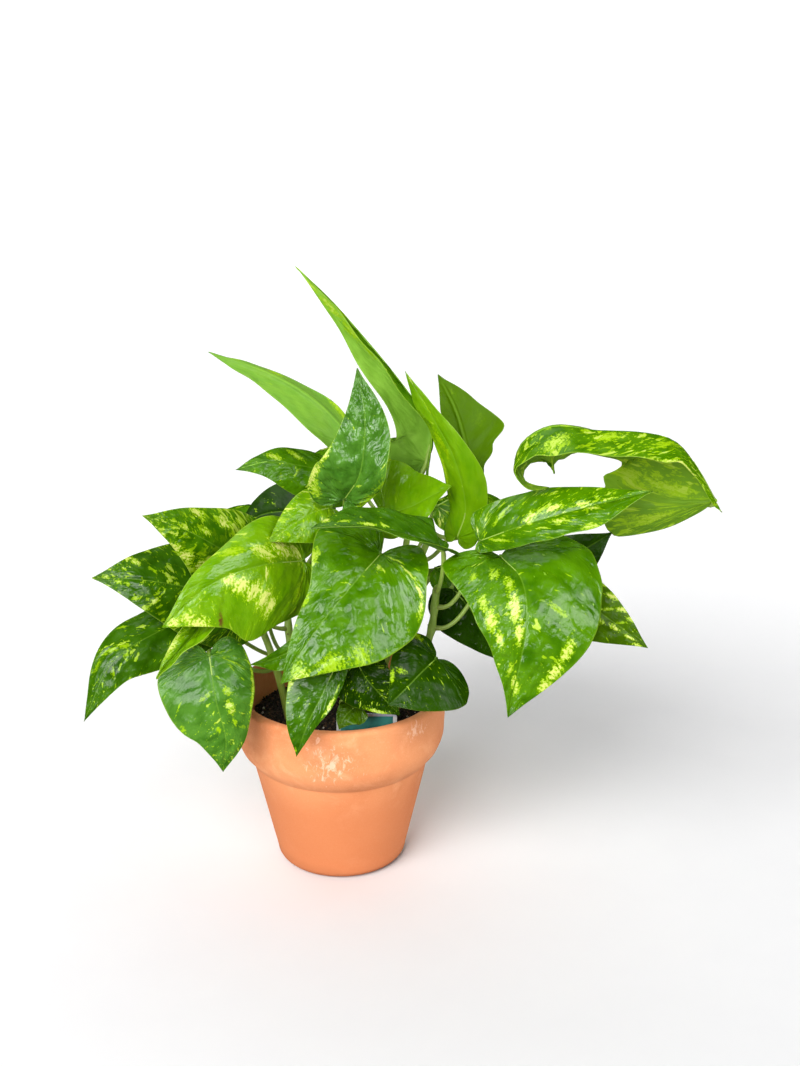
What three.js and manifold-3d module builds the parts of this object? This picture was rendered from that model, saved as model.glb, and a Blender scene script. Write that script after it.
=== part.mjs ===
// A golden pothos in a six-inch terracotta pot: the pot, its soil, a bare plant tag, the vines and the leaves.
// Millimetres, +Z up, the front towards -Y. Points below are measured from the middle of the pot's underside.
import * as THREE from "three";
import { mergeGeometries, mergeVertices } from "three/addons/utils/BufferGeometryUtils.js";
import Module from "manifold-3d";

const wasm = await Module();
wasm.setup();

// ---- driving dimensions ----
const CLEARANCE = 0.3; // air between two pieces that touch on the real plant

const POT_HEIGHT = 130;
const POT_RIM_RADIUS = 76; // outside, at the top of the rim
const POT_RIM_HEIGHT = 50;
const POT_RIM_FACE = 33; // the upright part of the rim, above its chamfer
const POT_RIM_FOOT_RADIUS = 65;
const POT_BODY_RADIUS = 63.5; // just under the rim
const POT_BASE_RADIUS = 47;
const POT_FOOT_ROUND = 7;
const POT_LIP_ROUND = 3.2;
const POT_WALL = 8;
const POT_FLOOR = 9;
const POT_HOLE_RADIUS = 8.5;
const POT_SIDES = 48;

const SOIL_TOP = 108;
const SOIL_CROWN = 3; // the soil stands a little higher in the middle
const SOIL_BOTTOM_GAP = CLEARANCE;

const TAG_WIDTH = 42;
const TAG_THICKNESS = 1;
const TAG_TOP = 128;
const TAG_SHOULDER = 104; // below this the tag narrows to its point
const TAG_POINT = 66;
const TAG_PLACE = [20, -41]; // x and y of its middle where it leaves the soil
const TAG_LEAN = 4; // degrees, towards the pot's middle at the top

const VINE_RADIUS = 2.8;
const VINE_SIDES = 6;
const VINE_ROOT_DEPTH = 32; // how far a vine goes down into the soil
const VINE_STEPS = 9;

const PETIOLE_RADIUS = 1.7;
const PETIOLE_SIDES = 5;
const PETIOLE_STEPS = 5;

const BLADE_THICKNESS = 0.8;
const BLADE_COLUMNS = 3; // quads from the midrib to the margin
const WIDEST = 0.2; // where along the midrib a blade is widest

// Half a heart-shaped blade, laid flat: [share of the midrib's length, share of the half width].
const BLADE_OUTLINE = [
  [0, 0],
  [-0.09, 0.18],
  [-0.13, 0.5],
  [-0.04, 0.84],
  [0.1, 0.985],
  [0.22, 1],
  [0.38, 0.93],
  [0.54, 0.77],
  [0.7, 0.53],
  [0.82, 0.32],
  [0.92, 0.13],
  [1, 0],
];

// Each vine's points from the soil up: [x, y, z].
const VINES = {
  left_front: [[-36, -12, SOIL_TOP], [-43, -18, 150], [-52, -24, 184], [-60, -30, 204]],
  left_back: [[-28, 12, SOIL_TOP], [-36, 18, 150], [-38, 26, 182], [-38, 32, 204]],
  centre_front: [[6, -24, SOIL_TOP], [4, -30, 145], [6, -32, 180], [12, -30, 212]],
  right_front: [[36, -10, SOIL_TOP], [54, -26, 152], [64, -33, 186], [68, -32, 220]],
  right_back: [[46, 12, SOIL_TOP], [60, 14, 152], [82, 18, 200], [110, 26, 234], [136, 32, 248]],
  top_left: [[4, 4, SOIL_TOP], [8, 4, 160], [14, 6, 215], [24, 8, 262]],
  top_right: [[24, 12, SOIL_TOP], [38, 10, 165], [52, 4, 212], [66, 0, 250]],
  back_left: [[-12, 36, SOIL_TOP], [-18, 50, 150], [-26, 62, 190], [-36, 70, 222]],
  back_right: [[26, 38, SOIL_TOP], [36, 52, 150], [44, 64, 192], [50, 74, 228]],
};

// Each leaf: the vine and the share of its length where the petiole leaves it, the midrib's points from the
// petiole to the tip, and the points that each half of the blade reaches towards, [share of the midrib, point]
// or just the point at the widest place. Left and right are as seen along the midrib with the glossy side up.
// curl: how far each half arches, in degrees. lobe: how far the basal lobes reach back, 1 on a plain leaf.
// via: points that the petiole passes.
const LEAVES = {
  front_centre: {
    vine: "centre_front", share: 0.9,
    midrib: [[30, -40, 245], [12, -64, 232], [-12, -86, 208], [-34, -98, 177]],
    left: [[0, [70, -52, 238]], [0.32, [51, -76, 196]], [0.7, [34, -95, 169]]],
    right: [[0.12, [-19, -52, 257]], [0.5, [-33, -80, 218]]],
    curl: [22, 22],
    lobe: 1.2,
  },
  left_front: {
    vine: "left_front", share: 0.95,
    midrib: [[-23, -20, 233], [-51, -50, 240], [-80, -72, 235], [-110, -88, 212]],
    left: [[0.15, [-31, -40, 198]], [0.6, [-73, -66, 174]]],
    right: [[0.2, [-41, -12, 262]], [0.6, [-80, -55, 255]]],
    curl: [50, 45],
  },
  left_upper: {
    vine: "left_back", share: 0.9,
    midrib: [[-54, 10, 214], [-75, -12, 236], [-99, -35, 260], [-124, -55, 277]],
    left: [[0.2, [-88, -24, 198]], [0.6, [-112, -50, 236]]],
    right: [[0.2, [-55, 28, 245]], [0.6, [-90, -5, 272]]],
  },
  left_out: {
    vine: "left_back", share: 0.7,
    midrib: [[-70, 5, 194], [-100, -15, 211], [-132, -35, 225], [-161, -50, 232]],
    left: [-91, -30, 175],
    right: [-95, 20, 230],
  },
  left_low: {
    vine: "left_back", share: 0.55,
    midrib: [[-93, -10, 191], [-120, -35, 188], [-150, -55, 173], [-170, -65, 134]],
    left: [-95, -28, 167],
    right: [-125, -8, 197],
  },
  left_small: {
    vine: "left_front", share: 0.85,
    midrib: [[-82, -54, 210], [-92, -66, 199], [-105, -78, 187], [-116, -86, 175]],
    left: [-82, -80, 203],
    right: [-98, -68, 208],
  },
  left_hanging: {
    vine: "left_front", share: 0.6,
    midrib: [[-83, -68, 184], [-78, -82, 158], [-72, -86, 132], [-75, -84, 106]],
    left: [-55, -62, 168],
    right: [-116, -76, 164],
  },
  over_centre: {
    vine: "right_front", share: 0.98,
    midrib: [[72, -44, 250], [45, -60, 266], [17, -72, 276], [-13, -82, 278]],
    left: [[0.1, [76, -62, 255]], [0.5, [24, -95, 281]]],
    right: [[0, [70, -30, 252]], [0.08, [64, -31, 267]], [0.31, [43, -37, 274]], [0.55, [19, -39, 279]],
      [0.81, [-10, -33, 280]]],
    curl: [10, 25],
    lobe: 0.5,
  },
  right_front: {
    vine: "right_front", share: 0.8,
    midrib: [[110, -38, 243], [123, -64, 234], [124, -86, 208], [113, -98, 153]],
    left: [[0.16, [171, -30, 244]], [0.25, [178, -46, 229]], [0.36, [178, -59, 215]],
      [0.69, [179, -78, 175]]],
    right: [[0.02, [68, -64, 243]], [0.25, [80, -76, 233]], [0.49, [84, -86, 217]], [0.69, [88, -93, 197]],
      [0.88, [89, -99, 174]]],
    lobe: 0.5,
  },
  right_long: {
    vine: "right_front", share: 0.9,
    midrib: [[96, -39, 254], [126, -54, 271], [162, -60, 284], [205, -62, 296]],
    left: [[0.13, [104, -34, 279]], [0.33, [127, -35, 288]], [0.6, [157, -37, 296]],
      [0.83, [184, -36, 302]]],
    right: [[0, [99, -47, 248]], [0.29, [125, -62, 259]], [0.5, [149, -73, 266]], [0.72, [177, -88, 270]],
      [0.87, [193, -100, 276]]],
    lobe: 0.2,
  },
  centre_narrow: {
    vine: "top_right", share: 0.98,
    midrib: [[82, -12, 247], [87, -18, 270], [80, -22, 303], [66, -18, 330], [46, -6, 361]],
    left: [[0.1, [76, -8, 264]], [0.4, [72, -9, 294]], [0.66, [59, -4, 317]], [0.89, [41, 14, 333]]],
    right: [[0.16, [101, -22, 264]], [0.37, [100, -28, 296]], [0.57, [86, -28, 324]],
      [0.8, [70, -19, 350]]],
    lobe: 0.4,
  },
  back_right_top: {
    vine: "top_right", share: 0.85,
    midrib: [[91, 5, 286], [88, 18, 304], [81, 30, 326], [69, 38, 349]],
    left: [[0.06, [101, 8, 291]], [0.25, [107, 22, 301]], [0.44, [119, 36, 316]], [0.69, [104, 42, 337]]],
    right: [[0.45, [73, 24, 310]], [0.75, [62, 31, 325]]],
    curl: [0, 0],
    lobe: 0.6,
  },
  top_tall: {
    vine: "top_left", share: 0.97,
    midrib: [[62, 24, 290], [64, 28, 315], [43, 32, 344], [18, 34, 375], [-4, 34, 401], [-28, 34, 425]],
    left: [[0.18, [61, 6, 322]], [0.48, [31, 8, 360]], [0.62, [13, 6, 377]], [0.8, [-5, 5, 402]]],
    right: [[0.06, [34, 15, 309]], [0.37, [30, 21, 336]], [0.55, [10, 23, 359]], [0.71, [-6, 26, 380]],
      [0.85, [-22, 26, 396]]],
    lobe: 0.8,
  },
  top_left_long: {
    vine: "top_left", share: 0.9,
    midrib: [[12, 8, 308], [-14, 16, 334], [-47, 25, 352], [-88, 30, 366]],
    left: [2, 26, 326],
    right: [-8, -4, 310],
  },
  upright_shiny: {
    vine: "top_left", share: 0.8,
    midrib: [[6, -20, 277], [17, -32, 300], [20, -28, 335], [15, -20, 367]],
    left: [[0.2, [-17, -26, 295]], [0.6, [-3, -25, 334]]],
    right: [[0.1, [25, -34, 284]], [0.35, [37, -40, 311]], [0.65, [43, -26, 344]]],
  },
  centre_round: {
    vine: "top_left", share: 0.7,
    midrib: [[33, -2, 260], [50, -12, 269], [64, -19, 279], [77, -25, 288]],
    left: [[0.2, [43, 8, 298]], [0.6, [69, 2, 303]]],
    right: [53, -26, 255],
  },
  left_mid_far: {
    vine: "top_left", share: 0.6,
    midrib: [[5, 20, 280], [-22, 10, 291], [-47, 0, 297], [-68, -8, 294]],
    left: [-14, 5, 265],
    right: [-10, 32, 293],
  },
  left_back_dark: {
    vine: "back_left", share: 0.97,
    midrib: [[-15, 60, 235], [-38, 65, 240], [-59, 70, 236], [-75, 72, 224]],
    left: [-27, 60, 212],
    right: [-30, 75, 263],
  },
  left_inner: {
    vine: "left_back", share: 0.97,
    midrib: [[-4, -4, 266], [-16, -16, 266], [-29, -26, 261], [-45, -36, 252]],
    left: [-10, -24, 246],
    right: [-17, -2, 279],
  },
  right_dark: {
    vine: "right_back", share: 0.8,
    midrib: [[137, 0, 215], [158, 5, 224], [176, 8, 234], [191, 10, 243]],
    left: [151, 10, 241],
    right: [169, 0, 204],
  },
  right_low: {
    vine: "right_back", share: 0.66,
    midrib: [[136, -10, 215], [167, -20, 204], [192, -28, 189], [213, -33, 174]],
    left: [181, -10, 219],
    right: [150, -25, 180],
  },
  low_right_dark: {
    vine: "right_back", share: 0.5,
    midrib: [[81, 0, 204], [95, -5, 187], [106, -8, 169], [114, -8, 153]],
    left: [116, -5, 198],
    right: [77, -8, 169],
  },
  low_round: {
    vine: "right_front", share: 0.6,
    midrib: [[67, -62, 179], [56, -74, 173], [46, -81, 165], [35, -86, 156]],
    left: [85, -80, 153],
    right: [42, -64, 192],
  },
  low_centre: {
    vine: "centre_front", share: 0.52,
    midrib: [[14, -52, 172], [20, -62, 165], [32, -66, 152], [43, -68, 140]],
    left: [33, -60, 177],
    right: [-1, -60, 155],
  },
  low_front: {
    vine: "centre_front", share: 0.8,
    midrib: [[1, -72, 179], [-8, -84, 163], [-18, -92, 144], [-25, -95, 123]],
    left: [7, -75, 169],
    right: [-34, -85, 167],
  },
  low_tip: {
    vine: "centre_front", share: 0.38,
    via: [[3, -46, 140]],
    midrib: [[13, -58, 142], [9, -64, 141], [5, -69, 138], [2, -71, 131]],
    left: [20, -64, 134],
    right: [3, -60, 146],
  },
  low_left_small: {
    vine: "centre_front", share: 0.75,
    midrib: [[-13, -35, 187], [-28, -45, 179], [-43, -52, 174], [-57, -58, 173]],
    left: [-16, -50, 169],
    right: [-25, -38, 188],
  },
  right_curled: {
    vine: "right_back", share: 0.98,
    via: [[180, 46, 252], [232, 34, 258]],
    midrib: [[257, -10, 273], [242, -14, 298], [226, -20, 317], [204, -26, 325], [170, -34, 329],
      [142, -40, 333], [123, -44, 324], [117, -46, 308], [124, -46, 296], [140, -44, 292]],
    left: [[0.08, [246, -20, 286]], [0.22, [230, -36, 305]], [0.35, [212, -49, 310]],
      [0.43, [197, -60, 314]], [0.55, [171, -71, 315]], [0.73, [150, -92, 310]], [0.8, [138, -110, 319]],
      [0.85, [115, -123, 315]], [0.91, [136, -153, 304]]],
    right: [[0.03, [183, 16, 242]], [0.11, [184, 23, 260]], [0.17, [185, 20, 277]], [0.37, [188, 10, 295]],
      [0.54, [177, -8, 301]], [0.62, [170, -20, 290]], [0.69, [168, -21, 272]], [0.76, [174, -16, 266]],
      [0.84, [186, -18, 281]], [0.92, [138, -40, 301]]],
    curl: [8, 6],
    lobe: 0.3,
  },
  back_left_high: {
    vine: "back_left", share: 0.9,
    midrib: [[-52, 94, 226], [-78, 118, 228], [-104, 136, 212], [-124, 148, 180]],
    left: [-94, 94, 212],
    right: [-48, 134, 214],
  },
  back_left_low: {
    vine: "back_left", share: 0.6,
    midrib: [[-52, 78, 186], [-78, 98, 184], [-104, 112, 166], [-124, 122, 134]],
    left: [-84, 66, 166],
    right: [-50, 116, 166],
  },
  back_centre_high: {
    vine: "back_right", share: 0.97,
    midrib: [[10, 92, 268], [6, 122, 276], [4, 152, 266], [4, 178, 236]],
    left: [-34, 106, 258],
    right: [46, 108, 256],
  },
  back_centre_low: {
    vine: "back_left", share: 0.75,
    midrib: [[4, 92, 196], [4, 120, 194], [0, 146, 172], [-4, 160, 136]],
    left: [-36, 100, 178],
    right: [42, 102, 176],
  },
  back_right_high: {
    vine: "back_right", share: 0.85,
    midrib: [[70, 92, 236], [96, 116, 240], [122, 138, 226], [142, 152, 194]],
    left: [62, 130, 222],
    right: [112, 90, 222],
  },
  back_right_low: {
    vine: "back_right", share: 0.6,
    midrib: [[70, 82, 190], [98, 100, 190], [124, 114, 172], [144, 122, 138]],
    left: [72, 116, 172],
    right: [106, 66, 174],
  },
  left_behind: {
    vine: "left_back", share: 0.55,
    midrib: [[-66, 44, 202], [-92, 58, 204], [-118, 68, 190], [-138, 72, 160]],
    left: [-82, 24, 190],
    right: [-74, 84, 190],
  },
  right_behind: {
    vine: "right_back", share: 0.6,
    midrib: [[104, 44, 200], [130, 58, 202], [154, 68, 186], [172, 72, 154]],
    left: [106, 84, 188],
    right: [126, 22, 186],
  },
};

const FINISHES = {
  terracotta: { color: 0xd98a5c, roughness: 0.85 },
  soil: { color: 0x2b1f17, roughness: 1 },
  tag: { color: 0x3f9a94, roughness: 0.5 },
  leaf: { color: 0x4f8f1c, roughness: 0.35 },
  vine: { color: 0x8fa646, roughness: 0.5 },
};

// ---- helpers ----
const vec = (p) => new THREE.Vector3(...p);
const radians = THREE.MathUtils.degToRad;

/** A smooth line through points, with even steps along its length. */
function smoothLine(points) {
  return new THREE.CatmullRomCurve3(points.map(vec), false, "catmullrom", 0.5);
}

/** The part of v square to the unit vector t, at length 1. */
function squareTo(v, t) {
  return v.clone().addScaledVector(t, -v.dot(t)).normalize();
}

/** A geometry with only positions, its equal vertices merged and its empty triangles dropped. */
function welded(geometry) {
  const bare = geometry.index ? geometry.toNonIndexed() : geometry.clone();
  bare.deleteAttribute("normal");
  bare.deleteAttribute("uv");
  const merged = mergeVertices(bare, 1e-3);
  const index = merged.index.array;
  const kept = [];
  for (let i = 0; i < index.length; i += 3) {
    const [a, b, c] = [index[i], index[i + 1], index[i + 2]];
    if (a !== b && b !== c && c !== a) kept.push(a, b, c);
  }
  merged.setIndex(kept);
  return merged;
}

/** A closed geometry as a manifold-3d solid. */
function solidOf(geometry) {
  const mesh = welded(geometry);
  const numProp = 3;
  const vertProperties = new Float32Array(mesh.attributes.position.array);
  const triVerts = new Uint32Array(mesh.index.array);
  return new wasm.Manifold(new wasm.Mesh({ numProp, vertProperties, triVerts }));
}

/** A manifold-3d solid as a geometry. */
function geometryOf(solid) {
  const mesh = solid.getMesh();
  const geometry = new THREE.BufferGeometry();
  geometry.setAttribute("position", new THREE.BufferAttribute(mesh.vertProperties, 3));
  geometry.setIndex(new THREE.BufferAttribute(mesh.triVerts, 1));
  return geometry;
}

/** A named mesh in one of the finishes. */
function piece(name, geometry, finish) {
  const plain = geometry.toNonIndexed();
  plain.computeVertexNormals();
  const mesh = new THREE.Mesh(plain, new THREE.MeshStandardMaterial(FINISHES[finish]));
  mesh.name = name;
  return mesh;
}

/** A tube of even thickness along a curve. */
function tube(curve, radius, sides, steps) {
  const corners = Array.from({ length: sides }, (_, i) => {
    const angle = (2 * Math.PI * i) / sides;
    return new THREE.Vector2(radius * Math.cos(angle), radius * Math.sin(angle));
  });
  return new THREE.ExtrudeGeometry(new THREE.Shape(corners), { steps, extrudePath: curve, bevelEnabled: false });
}

/** Points of a quarter round about a centre, from one angle in degrees to another. */
function arc(radius, height, size, from, to, count = 3) {
  return Array.from({ length: count + 1 }, (_, i) => {
    const angle = radians(from + ((to - from) * i) / count);
    return new THREE.Vector2(radius + size * Math.cos(angle), height + size * Math.sin(angle));
  });
}

/** A profile of radius and height turned about the Z axis. */
function turned(profile, sides) {
  return new THREE.LatheGeometry(profile, sides).rotateX(Math.PI / 2);
}

// ---- the pot ----
const RIM_LOW = POT_HEIGHT - POT_RIM_HEIGHT;
const INNER_BASE_RADIUS = POT_BASE_RADIUS - POT_WALL + 2;
const INNER_RIM_RADIUS = POT_RIM_RADIUS - POT_WALL;

/** The inner radius of the pot at a height above its floor. */
function innerRadius(height) {
  const share = (height - POT_FLOOR) / (POT_HEIGHT - POT_FLOOR);
  return INNER_BASE_RADIUS + (INNER_RIM_RADIUS - INNER_BASE_RADIUS) * share;
}

function pot() {
  const outer = [
    new THREE.Vector2(POT_HOLE_RADIUS, 0),
    ...arc(POT_BASE_RADIUS - POT_FOOT_ROUND, POT_FOOT_ROUND, POT_FOOT_ROUND, -90, 0),
    new THREE.Vector2(POT_BODY_RADIUS, RIM_LOW - 0.6),
    new THREE.Vector2(POT_RIM_FOOT_RADIUS, RIM_LOW),
    new THREE.Vector2(POT_RIM_RADIUS - 4.5, POT_HEIGHT - POT_RIM_FACE - 8),
    new THREE.Vector2(POT_RIM_RADIUS - 1.6, POT_HEIGHT - POT_RIM_FACE),
    ...arc(POT_RIM_RADIUS - POT_LIP_ROUND, POT_HEIGHT - POT_LIP_ROUND, POT_LIP_ROUND, 0, 90),
    ...arc(INNER_RIM_RADIUS + POT_LIP_ROUND, POT_HEIGHT - POT_LIP_ROUND, POT_LIP_ROUND, 90, 180),
    new THREE.Vector2(INNER_BASE_RADIUS, POT_FLOOR),
    new THREE.Vector2(POT_HOLE_RADIUS, POT_FLOOR),
    new THREE.Vector2(POT_HOLE_RADIUS, 0),
  ];
  return piece("pot", welded(turned(outer, POT_SIDES)), "terracotta");
}

// ---- the vines ----
/** The centre line of a vine, from its end in the soil up. */
function vineLine(points) {
  const [x, y] = points[0];
  const buried = [[x, y, SOIL_TOP - VINE_ROOT_DEPTH], [x, y, SOIL_TOP - VINE_ROOT_DEPTH / 2]];
  return smoothLine([...buried, ...points]);
}

const VINE_LINES = Object.fromEntries(Object.entries(VINES).map(([name, points]) => [name, vineLine(points)]));

function vines() {
  return Object.entries(VINE_LINES).map(([name, line]) =>
    piece("vine_" + name, welded(tube(line, VINE_RADIUS, VINE_SIDES, VINE_STEPS)), "vine"));
}

// ---- the tag ----
/** The tag's flat outline, grown by a margin, with its point down. */
function tagOutline(margin) {
  const half = TAG_WIDTH / 2 + margin;
  const outline = [
    [-half, TAG_TOP + margin],
    [-half, TAG_SHOULDER],
    [-3 - margin, TAG_POINT - margin],
    [3 + margin, TAG_POINT - margin],
    [half, TAG_SHOULDER],
    [half, TAG_TOP + margin],
  ];
  return new THREE.Shape(outline.map(([x, z]) => new THREE.Vector2(x, z - SOIL_TOP)));
}

/** The tag as a leaning plate, grown by a margin all round. */
function tagPlate(margin) {
  const depth = TAG_THICKNESS + 2 * margin;
  const plate = new THREE.ExtrudeGeometry(tagOutline(margin), { depth, bevelEnabled: false });
  plate.translate(0, 0, -depth / 2);
  plate.rotateX(Math.PI / 2 - radians(TAG_LEAN));
  return plate.translate(TAG_PLACE[0], TAG_PLACE[1], SOIL_TOP);
}

// ---- the soil ----
function soil() {
  const low = POT_FLOOR + SOIL_BOTTOM_GAP;
  const profile = [
    new THREE.Vector2(0, low),
    new THREE.Vector2(innerRadius(low) - CLEARANCE * 1.4, low),
    new THREE.Vector2(innerRadius(SOIL_TOP) - CLEARANCE * 1.4, SOIL_TOP),
    new THREE.Vector2(innerRadius(SOIL_TOP) * 0.6, SOIL_TOP + SOIL_CROWN * 0.7),
    new THREE.Vector2(0, SOIL_TOP + SOIL_CROWN),
  ];
  let body = solidOf(turned(profile, POT_SIDES));
  for (const line of Object.values(VINE_LINES)) {
    const hole = tube(line, VINE_RADIUS + CLEARANCE * 1.2, VINE_SIDES, VINE_STEPS);
    const foot = line.getPoint(0);
    const sump = new THREE.CylinderGeometry(VINE_RADIUS, VINE_RADIUS, 1, VINE_SIDES);
    sump.rotateX(Math.PI / 2).translate(foot.x, foot.y, foot.z - CLEARANCE);
    body = body.subtract(solidOf(hole)).subtract(solidOf(sump));
  }
  body = body.subtract(solidOf(tagPlate(CLEARANCE)));
  return piece("soil", geometryOf(body), "soil");
}

// ---- the leaves ----
/** One half of a blade: which way it lies and how wide it is along the midrib. */
class HalfBlade {
  constructor(line, reach, curl, hand) {
    this.line = line;
    this.hand = hand;
    this.curl = radians(curl);
    this.arch = curl ? this.curl / 2 / Math.sin(this.curl / 2) : 1;
    const list = Array.isArray(reach[0]) ? reach : [[WIDEST, reach]];
    this.stations = list.map(([share, point]) => {
      const along = this.tangent(share);
      const across = vec(point).sub(this.midrib(share));
      across.addScaledVector(along, -across.dot(along));
      return { share, width: across.length(), side: across.normalize() };
    });
  }

  tangent(share) {
    return this.line.getTangentAt(Math.min(Math.max(share, 0), 1));
  }

  /** A point on the midrib, or straight behind it for a negative share. */
  midrib(share) {
    if (share >= 0) return this.line.getPointAt(Math.min(share, 1));
    return this.line.getPointAt(0).addScaledVector(this.tangent(0), share * this.line.getLength());
  }

  /** The half's direction and width at a share of the midrib. */
  across(share) {
    const list = this.stations;
    const place = Math.min(Math.max(share, 0), 1);
    if (list.length === 1) {
      const side = list[0].side.clone();
      const steps = 24;
      for (let k = 1; k <= steps; k++) {
        const at = list[0].share + ((place - list[0].share) * k) / steps;
        side.copy(squareTo(side, this.tangent(at)));
      }
      return { side, width: list[0].width };
    }
    const at = Math.min(Math.max(place, list[0].share), list[list.length - 1].share);
    const next = Math.max(1, list.findIndex((s) => s.share >= at));
    const [a, b] = [list[next - 1], list[next]];
    const f = THREE.MathUtils.smoothstep(at, a.share, b.share);
    const side = squareTo(a.side.clone().lerp(b.side, f), this.tangent(place));
    return { side, width: THREE.MathUtils.lerp(a.width, b.width, f) };
  }

  /** The point at a share of the midrib and a share of the half width, on the arched blade. */
  at(share, out) {
    const { side, width } = this.across(share);
    const along = this.tangent(share);
    const up = this.hand > 0 ? side.clone().cross(along) : along.clone().cross(side);
    let flat = out * width;
    let raised = 0;
    if (this.curl) {
      const start = this.curl / 2;
      const turn = start - this.curl * out;
      flat = (width * this.arch * (Math.sin(start) - Math.sin(turn))) / this.curl;
      raised = (width * this.arch * (Math.cos(turn) - Math.cos(start))) / this.curl;
    }
    return this.midrib(share).addScaledVector(side, flat).addScaledVector(up, raised);
  }
}

/** Where a row that starts on the midrib and sweeps forward to an outline point is, a share of its way out. */
function rowPoint([end, width], way, lobe) {
  const far = end < 0 ? end * lobe : end;
  const root = Math.max(0, far - 0.28 * width);
  const middle = root + 0.3 * (far - root);
  const back = 1 - way;
  return [
    back * back * root + 2 * way * back * middle + way * way * far,
    2 * way * back * 0.55 * width + way * way * width,
  ];
}

/** A blade as one sheet of triangles facing the glossy way. */
function bladeSheet(halves, lobe) {
  const sheets = halves.map((half) => {
    const grid = BLADE_OUTLINE.map((end) =>
      Array.from({ length: BLADE_COLUMNS + 1 }, (_, j) => half.at(...rowPoint(end, j / BLADE_COLUMNS, lobe))));
    const points = [];
    for (let i = 0; i + 1 < grid.length; i++) {
      for (let j = 0; j < BLADE_COLUMNS; j++) {
        const [a, b, c, d] = [grid[i][j], grid[i][j + 1], grid[i + 1][j + 1], grid[i + 1][j]];
        points.push(...(half.hand > 0 ? [a, b, c, a, c, d] : [a, c, b, a, d, c]));
      }
    }
    return new THREE.BufferGeometry().setFromPoints(points);
  });
  return welded(mergeGeometries(sheets));
}

/** A sheet made into a closed plate, its triangles alike on both faces. */
function thickened(sheet, thickness) {
  sheet.computeVertexNormals();
  const { position, normal } = sheet.attributes;
  const index = Array.from(sheet.index.array);
  const face = (side) => Array.from({ length: position.count }, (_, i) => {
    const offset = new THREE.Vector3().fromBufferAttribute(normal, i).multiplyScalar((side * thickness) / 2);
    return new THREE.Vector3().fromBufferAttribute(position, i).add(offset);
  });
  const [top, bottom] = [face(1), face(-1)];
  const edges = new Set();
  for (let i = 0; i < index.length; i += 3) {
    const corners = index.slice(i, i + 3);
    corners.forEach((a, k) => edges.add(a + " " + corners[(k + 1) % 3]));
  }
  const points = [];
  for (let i = 0; i < index.length; i += 3) {
    const [a, b, c] = index.slice(i, i + 3);
    points.push(top[a], top[b], top[c], bottom[a], bottom[c], bottom[b]);
  }
  for (const edge of edges) {
    const [a, b] = edge.split(" ").map(Number);
    if (edges.has(b + " " + a)) continue;
    points.push(top[a], bottom[a], bottom[b], top[a], bottom[b], top[b]);
  }
  return new THREE.BufferGeometry().setFromPoints(points);
}

/** The centre line of a leaf's petiole, from just clear of its vine to just inside the blade. */
function petioleLine(leaf, halves) {
  const vine = VINE_LINES[leaf.vine];
  const axis = vine.getPointAt(leaf.share);
  const joint = vec(leaf.midrib[0]);
  const along = halves[0].tangent(0);
  const up = halves.reduce((sum, half) => {
    const side = half.across(WIDEST).side;
    return sum.add(half.hand > 0 ? side.clone().cross(along) : along.clone().cross(side));
  }, new THREE.Vector3()).normalize();
  const first = leaf.via ? vec(leaf.via[0]) : joint;
  const out = squareTo(first.clone().sub(axis), vine.getTangentAt(leaf.share));
  const start = axis.clone().addScaledVector(out, VINE_RADIUS + CLEARANCE);
  const span = start.distanceTo(joint);
  const end = joint.clone().addScaledVector(along, 2.5).addScaledVector(up, -0.6);
  const under = joint.clone().addScaledVector(along, -0.22 * span).addScaledVector(up, -0.22 * span);
  if (leaf.via) {
    const near = start.clone().addScaledVector(out, 3);
    return new THREE.CatmullRomCurve3([start, near, ...leaf.via.map(vec), end], false, "catmullrom", 0.5);
  }
  const near = start.clone().addScaledVector(out, 0.3 * span);
  return new THREE.CubicBezierCurve3(start, near, under, end);
}

function leaves() {
  return Object.entries(LEAVES).map(([name, leaf]) => {
    const line = smoothLine(leaf.midrib);
    const [curlLeft, curlRight] = leaf.curl ?? [20, 20];
    const halves = [new HalfBlade(line, leaf.left, curlLeft, -1), new HalfBlade(line, leaf.right, curlRight, 1)];
    const blade = solidOf(thickened(bladeSheet(halves, leaf.lobe ?? 1), BLADE_THICKNESS));
    const stalk = solidOf(tube(petioleLine(leaf, halves), PETIOLE_RADIUS, PETIOLE_SIDES, PETIOLE_STEPS));
    return piece("leaf_" + name, geometryOf(blade.add(stalk)), "leaf");
  });
}

// ---- the whole plant, centred over its own footprint ----
const plant = new THREE.Group();
plant.name = "potted_pothos";
plant.add(pot(), soil(), piece("plant_tag", welded(tagPlate(0)), "tag"), ...vines(), ...leaves());

const box = new THREE.Box3().setFromObject(plant);
const middle = box.getCenter(new THREE.Vector3());
plant.children.forEach((mesh) => mesh.geometry.translate(-middle.x, -middle.y, -box.min.z));

export default plant;
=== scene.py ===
"""A golden pothos in a terracotta pot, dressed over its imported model.

The tables are in millimetres from the middle of the pot's underside, as in the part's source. Meshes are in
metres in the row's own frame, with +Z up and the front towards -Y.
"""

import logging
import math
from dataclasses import dataclass
from enum import Enum
from statistics import NormalDist
from typing import Any, Sequence

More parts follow.
